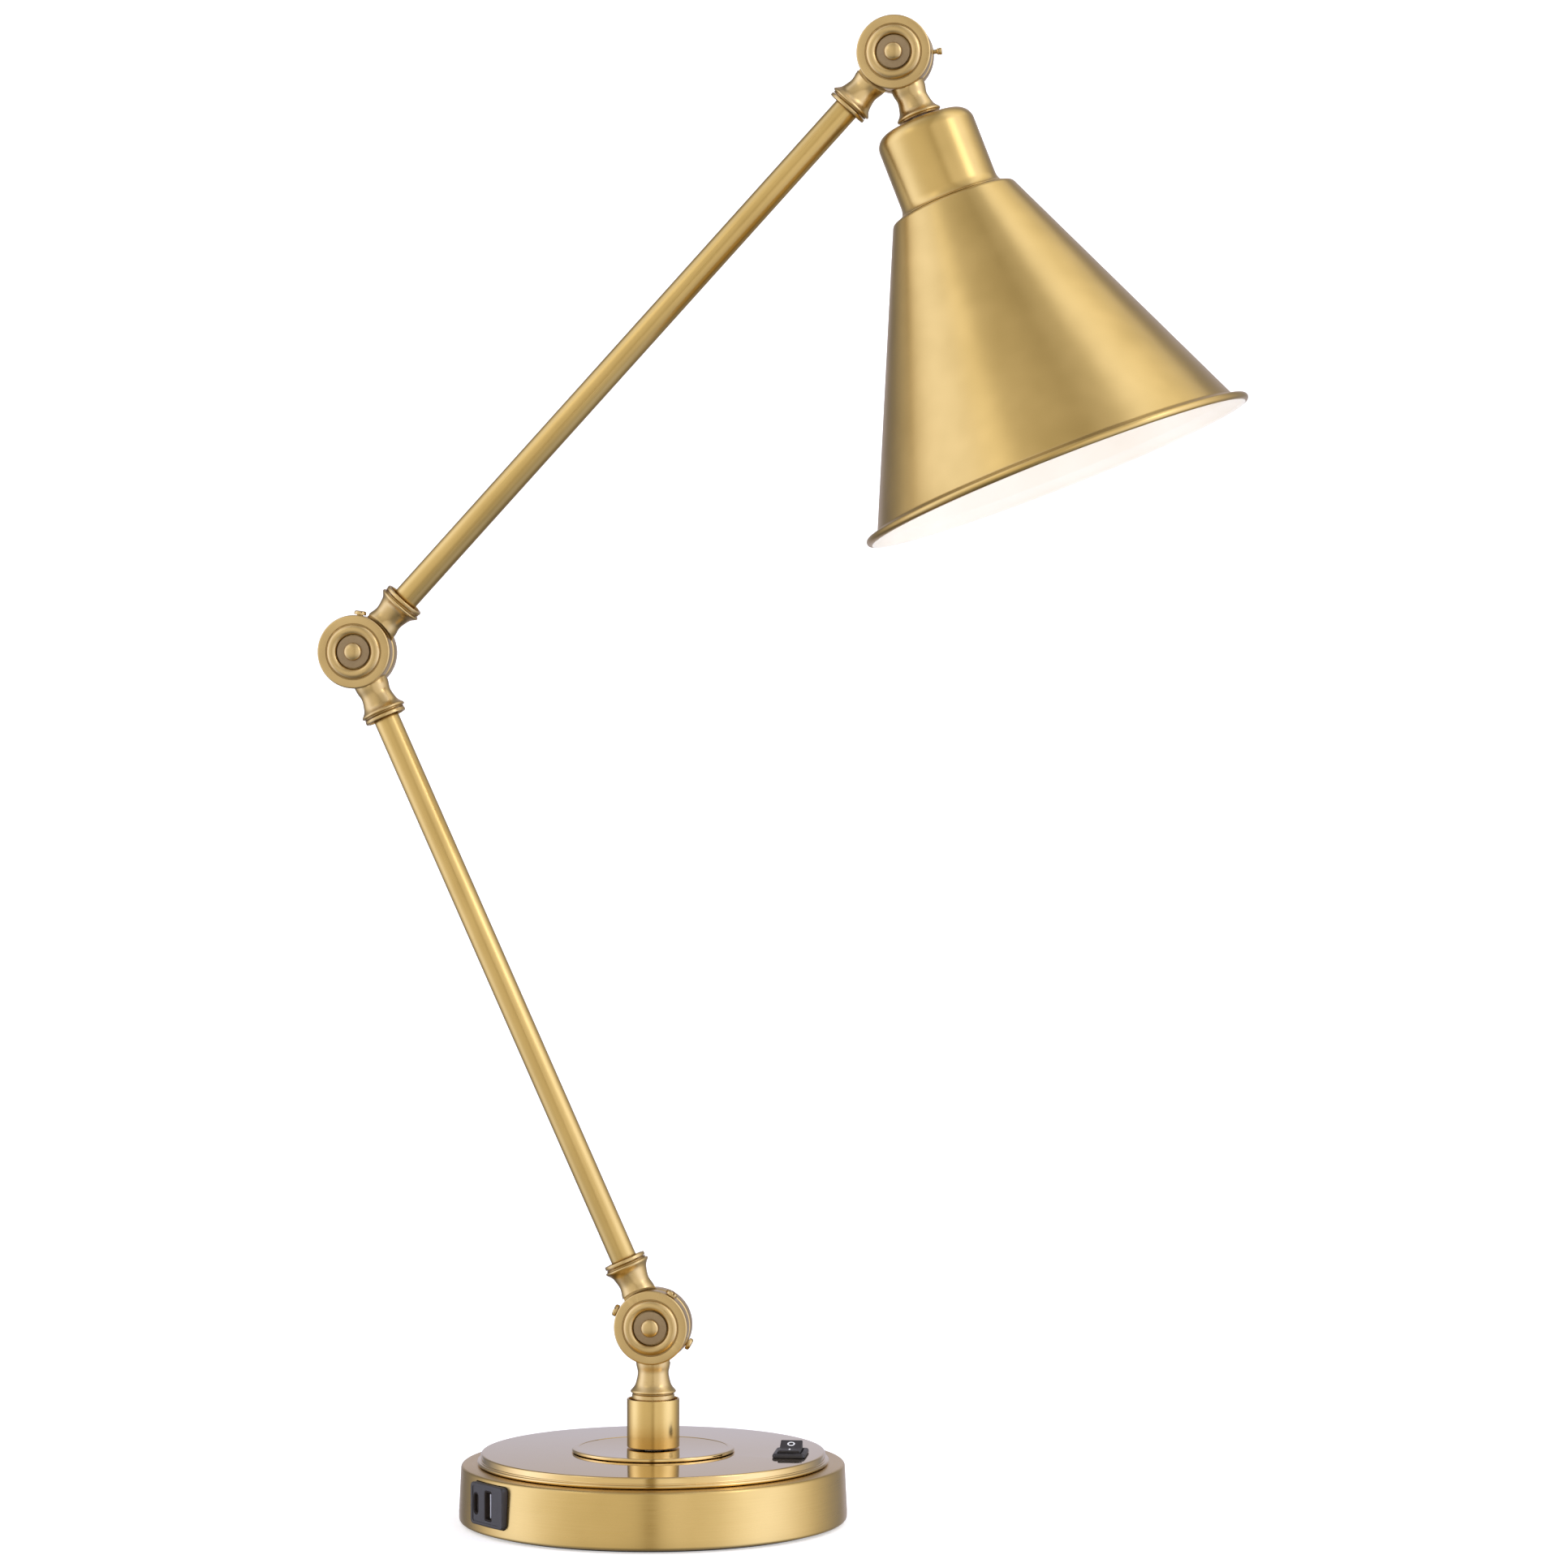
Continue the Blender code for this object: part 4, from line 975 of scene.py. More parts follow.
@dataclass
class RockerSwitch:
    """The switch on the base: a bezel, a rocker with a valley across it, and its two marks."""

    shop: Workshop
    width: float = 15.0
    length: float = 21.0
    rim: float = 2.0
    gap: float = 0.3
    pivot_drop: float = 3.1
    button_width: float = 10.0
    button_length: float = 14.6
    half_angle: float = 11.0
    crest: float = 4.5
    rim_round: float = 1.1
    corner: float = 1.6
    depth: float = 18.0
    floor: float = -9.5
    opening_inset: tuple[float, float] = (1.6, 1.4)
    opening_depth: float = 30.0
    bar: tuple[float, float] = (0.7, 3.2)
    ring: tuple[float, float] = (1.15, 1.75)
    print_low: float = -0.02
    print_high: float = 0.05

    def place(self) -> Matrix:
        """The switch's frame: X across it, Z up, its origin on the top plate."""
        pivot, across = joint_at("rocker_tilt"), Vector(joint("rocker_tilt")["axis"])
        upright = Vector((0, 0, 1))
        turned_to = Matrix((across, upright.cross(across), upright)).transposed().to_4x4()
        return Matrix.Translation((pivot.x, pivot.y, high("top_plate").z * MM)) @ turned_to

    def opening(self) -> bpy.types.Mesh:
        """What is cut out of the top plate and of the housing's roof for the switch's body."""
        side, end = self.opening_inset
        hole = block(self.width - side, self.length - end, 0.3, -self.opening_depth, 9)
        return moved(hole, self.place())

    def build(self) -> None:
        """Builds the bezel, the rocker and the marks."""
        self.bezel()
        tilted = self.place() @ shift(z=self.rim - self.pivot_drop) @ turn(self.half_angle, "X")
        self.button(tilted)
        self.marks(tilted)

    def bezel(self) -> None:
        """The bezel and the switch's body under it, as one moulding with a floor."""
        room = (self.button_width + 2 * self.gap, self.length - 4.0, 0.4)
        neck = (self.width - 2.2, self.length - 2.0, 0.4)
        inner = [level(rounded_box(*room), height) for height in (self.floor, self.rim - 0.5)]
        lip = [level(rounded_box(room[0] + 0.5, room[1] + 0.5, 0.6), self.rim - 0.1)]
        lip += [level(rounded_box(room[0] + 1.1, room[1] + 1.1, 0.8), self.rim)]
        outer = []
        for angle in (90, 60, 30, 0):
            inset = self.rim_round * (1 - math.cos(math.radians(angle)))
            height = self.rim - self.rim_round + self.rim_round * math.sin(math.radians(angle))
            line = rounded_box(self.width - 2 * inset, self.length - 2 * inset, self.corner - inset)
            outer.append(level(line, height))
        outer.append(level(rounded_box(self.width, self.length, self.corner), self.gap))
        under = [level(rounded_box(*neck), height) for height in (self.gap, -self.depth)]
        mesh = lofted([*inner, *lip, *outer, *under])
        self.shop.piece("switch_bezel", mesh, "base", "black_plastic", self.place(), ["switch_frame"])

    def button(self, place: Matrix) -> None:
        """The rocker, which lies with its near end pressed."""
        half = self.button_length / 2
        end = self.crest + half * math.sin(math.radians(self.half_angle))
        valley = [(half * 0.12 * n, self.crest + abs(n) ** 2 * 0.02) for n in (1, 0, -1)]
        side = [*valley, (-half, end), (-half, 1), (-half / 2, -4), (half / 2, -4), (half, 1), (half, end)]
        edges = (-self.button_width / 2, self.button_width / 2)
        rings = [[Vector((x, y, z)) for y, z in side] for x in edges]
        mesh = eased(lofted(rings), 0.45, 4)
        self.shop.piece("rocker", mesh, "rocker", "black_plastic", place, ["rocker_button"])

    def marks(self, place: Matrix) -> None:
        """The printed bar on the pressed end and the printed ring on the raised one."""
        half = self.button_length / 2
        for name, side, mesh in (
            ("rocker_bar", -1, block(*self.bar, 0.2, self.print_low, self.print_high)),
            ("rocker_ring", 1, pipe(*self.ring, self.print_low, self.print_high, steps=TINY_FACES)),
        ):
            out = half * 0.5 * side
            height = self.crest + abs(out) * math.sin(math.radians(self.half_angle))
            on_face = place @ shift(y=out, z=height) @ turn(self.half_angle * side * 0.99, "X")
            self.shop.piece(name, mesh, "rocker", "white_print", on_face)


class Side(Enum):
    """The half of a knuckle: the one at the front, which holds the hardware, or the one behind it."""

    FRONT = -1
    REAR = 1


@dataclass
class Knuckle:
    """A toothed knuckle joint between two necks, with its bolt, washers and nut."""

    shop: Workshop
    name: str
    origin: Vector
    front_body: str
    rear_body: str
    front_way: Vector
    rear_way: Vector
    radius: float = 17.0
    half_thickness: float = 9.25
    cheek_inner: float = 1.2
    chamfer: float = 0.75
    bead_centre: float = 10.25
    bead_width: float = 4.7
    bead_sink: float = 1.0
    face_sink: float = 0.85
    bolt: float = 3.0
    bolt_past: float = 5.5
    bolt_head: float = 4.1
    dome: float = 1.85
    thread_turns: int = 6
    thread_pitch: float = 0.6
    thread_depth: float = 0.25
    washer_proud: float = 0.55
    washer_low: float = 0.8
    nut_radius: float = 5.6
    nut_height: float = 4.5
    nut_chamfer: float = 0.4
    nut_corner: float = 5.45
    teeth: int = 54
    tooth_depth: float = 0.55
    tooth_inset: float = 0.6
    ring_half: float = 0.9
    clearance: float = 1.4
    neck_end: float = 31.3
    seat_depth: float = 6.0
    tube_hole: float = 6.3
    waist: float = 7.1
    lip: float = 10.4
    front_end: list[Point] = field(default_factory=list)

    def build(self, front_node: str, rear_node: str) -> None:
        """Builds both halves and the hardware.

        Args:
            front_node: The CAD node of the front half.
            rear_node: The CAD node of the rear half.
        """
        for side, way, node, body in (
            (Side.FRONT, self.front_way, front_node, self.front_body),
            (Side.REAR, self.rear_way, rear_node, self.rear_body),
        ):
            ending = self.front_end if side is Side.FRONT and self.front_end else self.tube_end()
            mesh = self.half(side, ending)
            self.shop.piece(f"{node}_casting", mesh, body, "antique_brass", looking(self.origin, way), [node])
        self.hardware()

    def face_out(self, side: Side) -> Matrix:
        """A turn that points Z to the front or the rear."""
        return turn(-90 * side.value, "X")

    def half(self, side: Side, ending: list[Point]) -> bpy.types.Mesh:
        """One half: a cheek with a beaded face, joined to its neck and cleared round the other half.

        Args:
            side: Which half it is.
            ending: The rest of the neck's outline after its lip, back to the axis.

        Returns:
            The mesh, with Z along the neck.
        """
        cheek = moved(turned(self.cheek_outline(), CHEEK_FACES), self.face_out(side))
        mesh = combine(cheek, turned([*self.neck_outline(), *ending]), "UNION")
        clear = self.radius + self.clearance
        room = rod(clear, -self.cheek_inner, self.half_thickness + 5, steps=CHEEK_FACES)
        return combine(mesh, moved(room, self.face_out(self.other(side))), "DIFFERENCE")

    def other(self, side: Side) -> Side:
        """The opposite side."""
        return Side.REAR if side is Side.FRONT else Side.FRONT

    def cheek_outline(self) -> list[Point]:
        """A cheek's outline: a flat outer ring, a groove, a round bead and a recess for the washer."""
        top = self.half_thickness
        bead_round = math.hypot(self.bead_width / 2, self.bead_sink)
        start = math.degrees(math.atan2(self.bead_sink, self.bead_width / 2))
        outer_foot = self.bead_centre + self.bead_width / 2
        recess = self.bead_centre - self.bead_width / 2
        hole = self.bolt + 0.3
        outline = rounded([
            (hole, self.cheek_inner, 0),
            (self.radius, self.cheek_inner, self.chamfer),
            (self.radius, top, self.chamfer),
            (outer_foot + 0.5, top, 0.15),
            (outer_foot + 0.35, top - 0.35, 0.1),
            (outer_foot, top - 0.3, 0),
        ], 4)
        outline += arc((self.bead_centre, top - self.bead_sink), bead_round, start, 180 - start, 16)
        return [*outline, (recess, top - self.face_sink), (hole, top - self.face_sink)]

    def neck_outline(self) -> list[Point]:
        """The neck from inside the cheek to its lip, in one smooth line with a groove after the lip."""
        root = self.radius
        line = smooth_line([
            (self.waist + 0.95, root - 2), (self.waist + 0.65, root + 1), (self.waist, root + 4.6),
            (self.waist + 0.8, root + 8.7), (self.waist + 1.6, root + 10.6), (self.lip - 0.15, root + 12.4),
        ])
        inside = root - 7
        outline = [(0, inside), (self.waist + 1.0, inside), *line]
        outline += arc((self.lip - 0.45, root + 12.95), 0.5, -30, 80, 5)
        return [*outline, (self.lip - 1.0, self.neck_end - 0.6), (self.lip - 1.0, self.neck_end - 0.35)]

    def tube_end(self) -> list[Point]:
        """A neck's end with the seat of an arm tube."""
        hole, end, seat = self.tube_hole, self.neck_end, self.neck_end - self.seat_depth
        return [(self.lip - 0.7, end), (hole, end), (hole, seat), (0, seat)]

    def hardware(self) -> None:
        """The toothed washer, the cap washer, the domed bolt and the nut behind."""
        upright = looking(self.origin, self.front_way)
        front, rear = upright @ self.face_out(Side.FRONT), upright @ self.face_out(Side.REAR)
        top = self.half_thickness + self.washer_proud
        under = top - self.washer_low
        cap = turned(rounded([
            (self.bolt + 0.3, under, 0), (7.6, under, 0.2), (7.6, top - 0.1, 0.3), (5.2, top, 0.4),
            (self.bolt + 0.3, top, 0),
        ], 4))
        for piece, mesh, finish, place, node in (
            ("teeth", self.toothed_ring(), "blackened_steel", front, "toothed_washer"),
            ("cap", cap, "dull_brass", front, "cap_washer"),
            ("dome_bolt", self.dome_bolt(top + 0.3, -top - self.bolt_past), "antique_brass", front, "bolt"),
            ("hex_nut", self.hex_nut(), "antique_brass", rear @ shift(z=under), "nut"),
        ):
            nodes = [f"{self.name}_{node}"]
            self.shop.piece(f"{self.name}_{piece}", mesh, self.front_body, finish, place, nodes)

    def toothed_ring(self) -> bpy.types.Mesh:
        """The washer between the halves, with radial teeth that show round its rim."""
        half, hole, rim = self.ring_half, self.bolt + 0.3, self.radius - self.tooth_inset
        steps = 4 * self.teeth
        rings = []
        for radius, height in ((hole, -half), (rim, -half), (rim, half), (hole, half)):
            ring = []
            for step in range(steps):
                angle = FULL_TURN * step / steps
                out = radius - (self.tooth_depth if radius == rim and step % 4 < 2 else 0.0)
                ring.append(Vector((out * math.cos(angle), out * math.sin(angle), height)))
            rings.append(ring)
        return self.closed(rings)

    def closed(self, rings: Sequence[Ring]) -> bpy.types.Mesh:
        """A body with a hole, from rings whose last one joins the first."""
        bm = bmesh.new()
        columns = [[bm.verts.new(point * MM) for point in ring] for ring in rings]
        for index, column in enumerate(columns):
            following = columns[(index + 1) % len(columns)]
            for i in range(len(column)):
                bm.faces.new((column[i - 1], column[i], following[i], following[i - 1]))
        bmesh.ops.recalc_face_normals(bm, faces=bm.faces)
        return finished_mesh(bm)

    def dome_bolt(self, head: float, end: float) -> bpy.types.Mesh:
        """The bolt: a chamfered tip with thread, a shank, and a domed head with a groove round it."""
        wide, shank = self.bolt_head, self.bolt
        dome = [
            (wide * math.cos(math.radians(a)), head + 0.55 + self.dome * math.sin(math.radians(a)))
            for a in range(0, 91, 9)
        ]
        outline = [(0, end), (shank - 0.6, end), (shank, end + 0.6)]
        for ridge in range(self.thread_turns):
            at = end + 0.8 + self.thread_pitch * ridge
            outline += [(shank, at), (shank - self.thread_depth, at + self.thread_pitch / 2)]
        outline += [(shank, end + 4.6), (shank, head)]
        outline += [(wide - 0.2, head), (wide, head + 0.15), (wide, head + 0.45)]
        return turned([*outline, *dome[:-1], (0, head + 2.4)], SMALL_FACES)

    def hex_nut(self) -> bpy.types.Mesh:
        """The hexagon nut, chamfered on both ends."""
        hole, wide, top, chamfer = self.bolt + 0.25, self.nut_radius, self.nut_height, self.nut_chamfer
        small = wide - chamfer
        rings = []
        for radius, height in (
            (hole, 0.0), (small, 0.0), (wide, chamfer), (wide, top - chamfer), (small, top), (hole, top),
        ):
            ring = []
            for step in range(TINY_FACES):
                angle = FULL_TURN * step / TINY_FACES
                flat = (angle + math.pi / 6) % (math.pi / 3) - math.pi / 6
                across = radius * math.cos(math.pi / 6) / math.cos(flat)
                out = radius if radius == hole else min(across, self.nut_corner)
                ring.append(Vector((out * math.cos(angle), out * math.sin(angle), height)))
            rings.append(ring)
        return self.closed(rings)


@dataclass
class Stop:
    """A stop in a knuckle's rim: a slotted pan-head screw, or a headless pin."""

    shop: Workshop
    node: str
    body: str
    origin: Vector
    head: float = 2.8
    height: float = 1.9
    shank: float = 1.5
    sunk: float = 5.0
    slot: float = 0.8
    slot_depth: float = 0.9
    slot_turn: float = 25.0
    pin_height: float = 4.0
    pin_length: float = 9.0
    knuckle_radius: float = 17.0
    pin: bool = False

    def build(self) -> None:
        """Builds the stop along its own direction from the knuckle's middle."""
        middle = middle_of(self.node)
        way = Vector((middle.x - self.origin.x, 0, middle.z - self.origin.z))
        origin = Vector((self.origin.x, middle.y, self.origin.z))
        mesh = self.headless() if self.pin else self.slotted()
        place = looking(origin, way)
        self.shop.piece(f"{self.node}_piece", mesh, self.body, "antique_brass", place, [self.node])

    def slotted(self) -> bpy.types.Mesh:
        """A pan-head screw with a slot."""
        seat = self.knuckle_radius + 0.3
        top = seat + self.height
        foot = seat - self.sunk
        mesh = turned(rounded([
            (0, foot, 0), (self.shank, foot, 0.2), (self.shank, seat, 0), (self.head, seat, 0.25),
            (self.head, top, 0.9), (0, top, 0),
        ]), TINY_FACES)
        slot = moved(block(self.slot, 8, 0.05, top - self.slot_depth, top + 1), turn(self.slot_turn, "Z"))
        return combine(mesh, slot, "DIFFERENCE")

    def headless(self) -> bpy.types.Mesh:
        """A pin with a slightly spread, grooved tip."""
        tip = self.knuckle_radius + self.pin_height
        foot = tip - self.pin_length
        neck, wide = self.shank - 0.5, self.shank + 0.1
        return turned(rounded([
            (0, foot, 0), (neck, foot, 0.2), (neck, tip - 2.4, 0), (neck + 0.3, tip - 2.2, 0.1),
            (wide, tip - 1.7, 0.1), (wide - 0.25, tip - 1.4, 0), (wide, tip - 1.2, 0), (wide, tip, 0.35),
            (0, tip, 0),
        ]), TINY_FACES)


@dataclass
class Arm:
    """An arm's tube with the ring round each of its ends."""

    shop: Workshop
    name: str
    start: Vector
    end: Vector
    tube_radius: float = 6.0
    tube_wall: float = 1.0
    seat: float = 25.3
    ring_start: float = 31.6
    ring_height: float = 1.7
    ring_radius: float = 9.75
    ring_bore: float = 8.4
    ring_round: float = 0.45
    tube_faces: int = 72

    def build(self) -> None:
        """Builds the tube and both rings along the arm."""
        length = (self.end - self.start).length / MM
        place = looking(self.start, self.end - self.start)
        inner, outer = self.tube_radius - self.tube_wall, self.tube_radius
        mesh = pipe(inner, outer, self.seat, length - self.seat, 0.3, self.tube_faces)
        self.shop.piece(f"{self.name}_rod", mesh, self.name, "satin_tube_brass", place, [f"{self.name}_tube"],
                        slot="satin_brass")
        top = length - self.ring_start - self.ring_height
        for which, base in (("lower", self.ring_start), ("upper", top)):
            ring = pipe(self.ring_bore, self.ring_radius, base, base + self.ring_height, self.ring_round)
            self.shop.piece(f"{self.name}_{which}_collar", ring, self.name, "antique_brass", place,
                            [f"{self.name}_{which}_ring"])


@dataclass
class Head:
    """The head: a washer, the cup over the lampholder, the conical shade, and the bulb."""

    shop: Workshop
    origin: Vector
    nipple_hole: float = 5.3
    washer: tuple[float, float, float] = (8.2, 31.9, 32.9)
    cup_top: float = 33.2
    cup_radius: float = 23.0
    cup_round: float = 7.0
    cup_flare: float = 3.2
    cup_end: float = 72.4
    cup_wall: float = 1.2
    shade_top: float = 72.7
    rim_radius: float = 91.0
    shade_end: float = 206.5
    bead: float = 1.95
    shell: float = 0.5
    lining: float = 0.2
    lining_end: float = 96.0
    holder_radius: float = 17.0
    holder_end: float = 97.2
    holder_floor: float = 69.2
    holder_roof: float = 43.5
    holder_bore: float = 13.3
    holder_pitch: float = 2.2
    holder_thread: float = 0.7
    clamp_radius: float = 20.7
    clamp_low: float = 73.7
    clamp_high: float = 77.9
    clamp_faces: int = 144
    grips: int = 18
    grip_start: float = 19.5
    grip_share: float = 0.03
    bulb_start: float = 95.2
    bulb_middle: float = 149.2
    bulb_radius: float = 30.0
    bulb_wall: float = 1.2
    crown_start: float = 24.0
    body: str = "head"

    def place(self) -> Matrix:
        """The head's frame: Z along the shade's axis, from the knuckle."""
        return looking(self.origin, middle_of("holder_ring") - self.origin)

    def build(self) -> None:
        """Builds and dresses every piece of the head."""
        place = self.place()
        washer = pipe(self.nipple_hole, *self.washer, 0.3)
        self.shop.piece("head_spacer", washer, self.body, "antique_brass", place, ["head_washer"])
        self.shop.piece("shade_cup", self.cup(), self.body, "satin_brass", place, ["socket_cup"])
        self.shop.piece("shade_shell", self.shade_shell(), self.body, "satin_brass", place, ["shade"])
        self.shop.piece("shade_lining", self.shade_lining(), self.body, "cream_enamel", place)
        self.shop.piece("holder_barrel", self.barrel(), self.body, "black_plastic", place, ["lampholder"])
        self.shop.piece("holder_clamp", self.clamp(), self.body, "black_plastic", place, ["holder_ring"])
        self.shop.piece("bulb_envelope", self.envelope(), self.body, "bulb_glass", place, ["bulb_glass"])

    def cup(self) -> bpy.types.Mesh:
        """The spun cup, round at the top and flared onto the shade."""
        radius, end, hole = self.cup_radius, self.cup_end, self.nipple_hole
        shoulder = (radius - self.cup_round, self.cup_top + self.cup_round)
        outline = [(hole, self.cup_top), *arc(shoulder, self.cup_round, -90, 0)]
        outline += smooth_line([
            (radius, end - 5.5), (radius + 0.15, end - 3.9), (radius + 0.75, end - 2.0),
            (radius + 1.7, end - 0.7), (radius + self.cup_flare, end - 0.15),
        ], 4)
        inner = radius - self.cup_wall
        outline += [(radius + self.cup_flare, end), (inner + 1.4, end), (inner, end - 3)]
        outline += arc(shoulder, self.cup_round - self.cup_wall, 0, -90, 8)
        return turned([*outline, (hole, self.cup_top + self.cup_wall)], DISC_FACES)

    def shade_line(self, inset: float) -> list[Point]:
        """The shade's line from its top hole to its rim, moved inwards by an inset."""
        corners = [
            (self.holder_radius + 0.3, self.shade_top + inset, 0),
            (29.1 - 0.6 * inset, self.shade_top + 0.15 + inset, 3.0),
            (86.45 - inset, self.shade_end - 5.0, 2.2),
            (88.9 - inset, self.shade_end - 3.4 + 0.4 * inset, 0),
        ]
        return rounded(corners, 8)

    def shade_shell(self) -> bpy.types.Mesh:
        """The brass outside of the shade and its rolled rim."""
        bead = arc((self.rim_radius, self.shade_end - self.bead), self.bead - self.lining, 205, 515, 32)
        return turned([*self.shade_line(0), *bead, *reversed(self.shade_line(self.shell))], SHADE_FACES)

    def shade_lining(self) -> bpy.types.Mesh:
        """The enamel on the inside of the shade."""
        outer, inner = self.shade_line(self.shell)[:-1], self.shade_line(self.shell + self.lining)[:-1]
        middle = (self.rim_radius, self.shade_end - self.bead)
        over = arc(middle, self.bead, 165, self.lining_end)
        under = arc(middle, self.bead - self.lining, self.lining_end, 165)
        return turned([*outer, *reversed(under), *reversed(over), *reversed(inner)], SHADE_FACES)

    def barrel(self) -> bpy.types.Mesh:
        """The lampholder's barrel, with a thread for its clamp ring."""
        top, end, radius = self.cup_top + self.cup_wall + 0.3, self.holder_end, self.holder_radius
        hole, root = self.nipple_hole, self.holder_radius - self.holder_thread
        outline = [(hole, top), (radius - 5, top), (radius, top + 5), (radius, self.shade_top + 1)]
        ridge = self.shade_top + 1.4
        while ridge < end - 4:
            outline += [(radius, ridge), (root, ridge + 0.7), (root, ridge + 1.1), (radius, ridge + 1.8)]
            ridge += self.holder_pitch
        bore, floor, roof = self.holder_bore, self.holder_floor, self.holder_roof
        outline += rounded([(radius, end, 0.6), (bore, end, 0.6), (bore, floor, 0)], 4)
        return turned([*outline, (0, floor), (0, roof), (hole, roof)])

    def clamp(self) -> bpy.types.Mesh:
        """The ring that clamps the shade, with finger grips."""
        mesh = pipe(self.holder_radius + 0.3, self.clamp_radius, self.clamp_low, self.clamp_high, 0.5,
                    self.clamp_faces)
        for vertex in mesh.vertices:
            if math.hypot(vertex.co.x, vertex.co.y) > self.grip_start * MM:
                angle = math.atan2(vertex.co.y, vertex.co.x)
                share = 1 - self.grip_share * max(0.0, math.cos(self.grips * angle))
                vertex.co.x *= share
                vertex.co.y *= share
        return mesh

    def envelope(self) -> bpy.types.Mesh:
        """The bulb's envelope, from its neck to its crown."""
        radius, middle, start, wall = self.bulb_radius, self.bulb_middle, self.bulb_start, self.bulb_wall
        lean = math.radians(self.crown_start)
        neck = smooth_line([
            (12.7, start), (12.9, start + 6), (15.2, start + 16), (20.6, start + 28),
            (radius * math.cos(lean), middle - radius * math.sin(lean)),
        ], 6)
        crown = arc((0, middle), radius, -self.crown_start, 90, 24)[1:]
        inner_crown = arc((0, middle), radius - wall, 90, -self.crown_start, 24)
        inner_neck = [(r - wall, z) for r, z in reversed(neck[:-1])]
        tops = [(0, middle + radius), (0, middle + radius - wall)]
        return turned([*neck, *crown[:-1], *tops, *inner_crown[1:], *inner_neck])


@dataclass
class Lamp:
    """The whole lamp, from its base to its shade."""

    shop: Workshop
    swivel_collar: float = 9.8
    collar_edge: float = 0.3
    nipple_seat: tuple[Point, ...] = ((9.7, 31.3), (5.3, 31.3), (5.3, 21.0), (0, 21.0))

    def build(self) -> None:
        """Builds the sub-assemblies in order, from the base up."""
        Base(self.shop).build()
        shoulder, elbow, neck = (joint_at(name) for name in ("lower_tilt", "elbow_tilt", "head_tilt"))
        head = Head(self.shop, neck)
        shade_way = head.place().col[2].to_3d()
        collar, radius, edge = shoulder.z / MM - low("base_knuckle").z, self.swivel_collar, self.collar_edge
        swivel_end = [(radius, 31.4), (radius, collar - edge), (radius - edge, collar), (0, collar)]
        Knuckle(self.shop, "base", shoulder, "turret", "lower_arm", Vector((0, 0, -1)), elbow - shoulder,
                front_end=swivel_end).build("base_knuckle", "lower_arm_foot")
        Knuckle(self.shop, "elbow", elbow, "lower_arm", "upper_arm", shoulder - elbow, neck - elbow).build(
            "lower_arm_head", "upper_arm_foot")
        Knuckle(self.shop, "head", neck, "head", "upper_arm", shade_way, elbow - neck,
                front_end=list(self.nipple_seat)).build("head_knuckle", "upper_arm_head")
        for node, body, origin in (
            ("base_left_stop", "turret", shoulder),
            ("base_right_stop", "turret", shoulder),
            ("lower_foot_stop", "lower_arm", shoulder),
            ("elbow_stop", "lower_arm", elbow),
            ("head_stop", "upper_arm", neck),
        ):
            Stop(self.shop, node, body, origin, pin=node == "head_stop").build()
        Arm(self.shop, "lower_arm", shoulder, elbow).build()
        Arm(self.shop, "upper_arm", elbow, neck).build()
        head.build()


# The studio


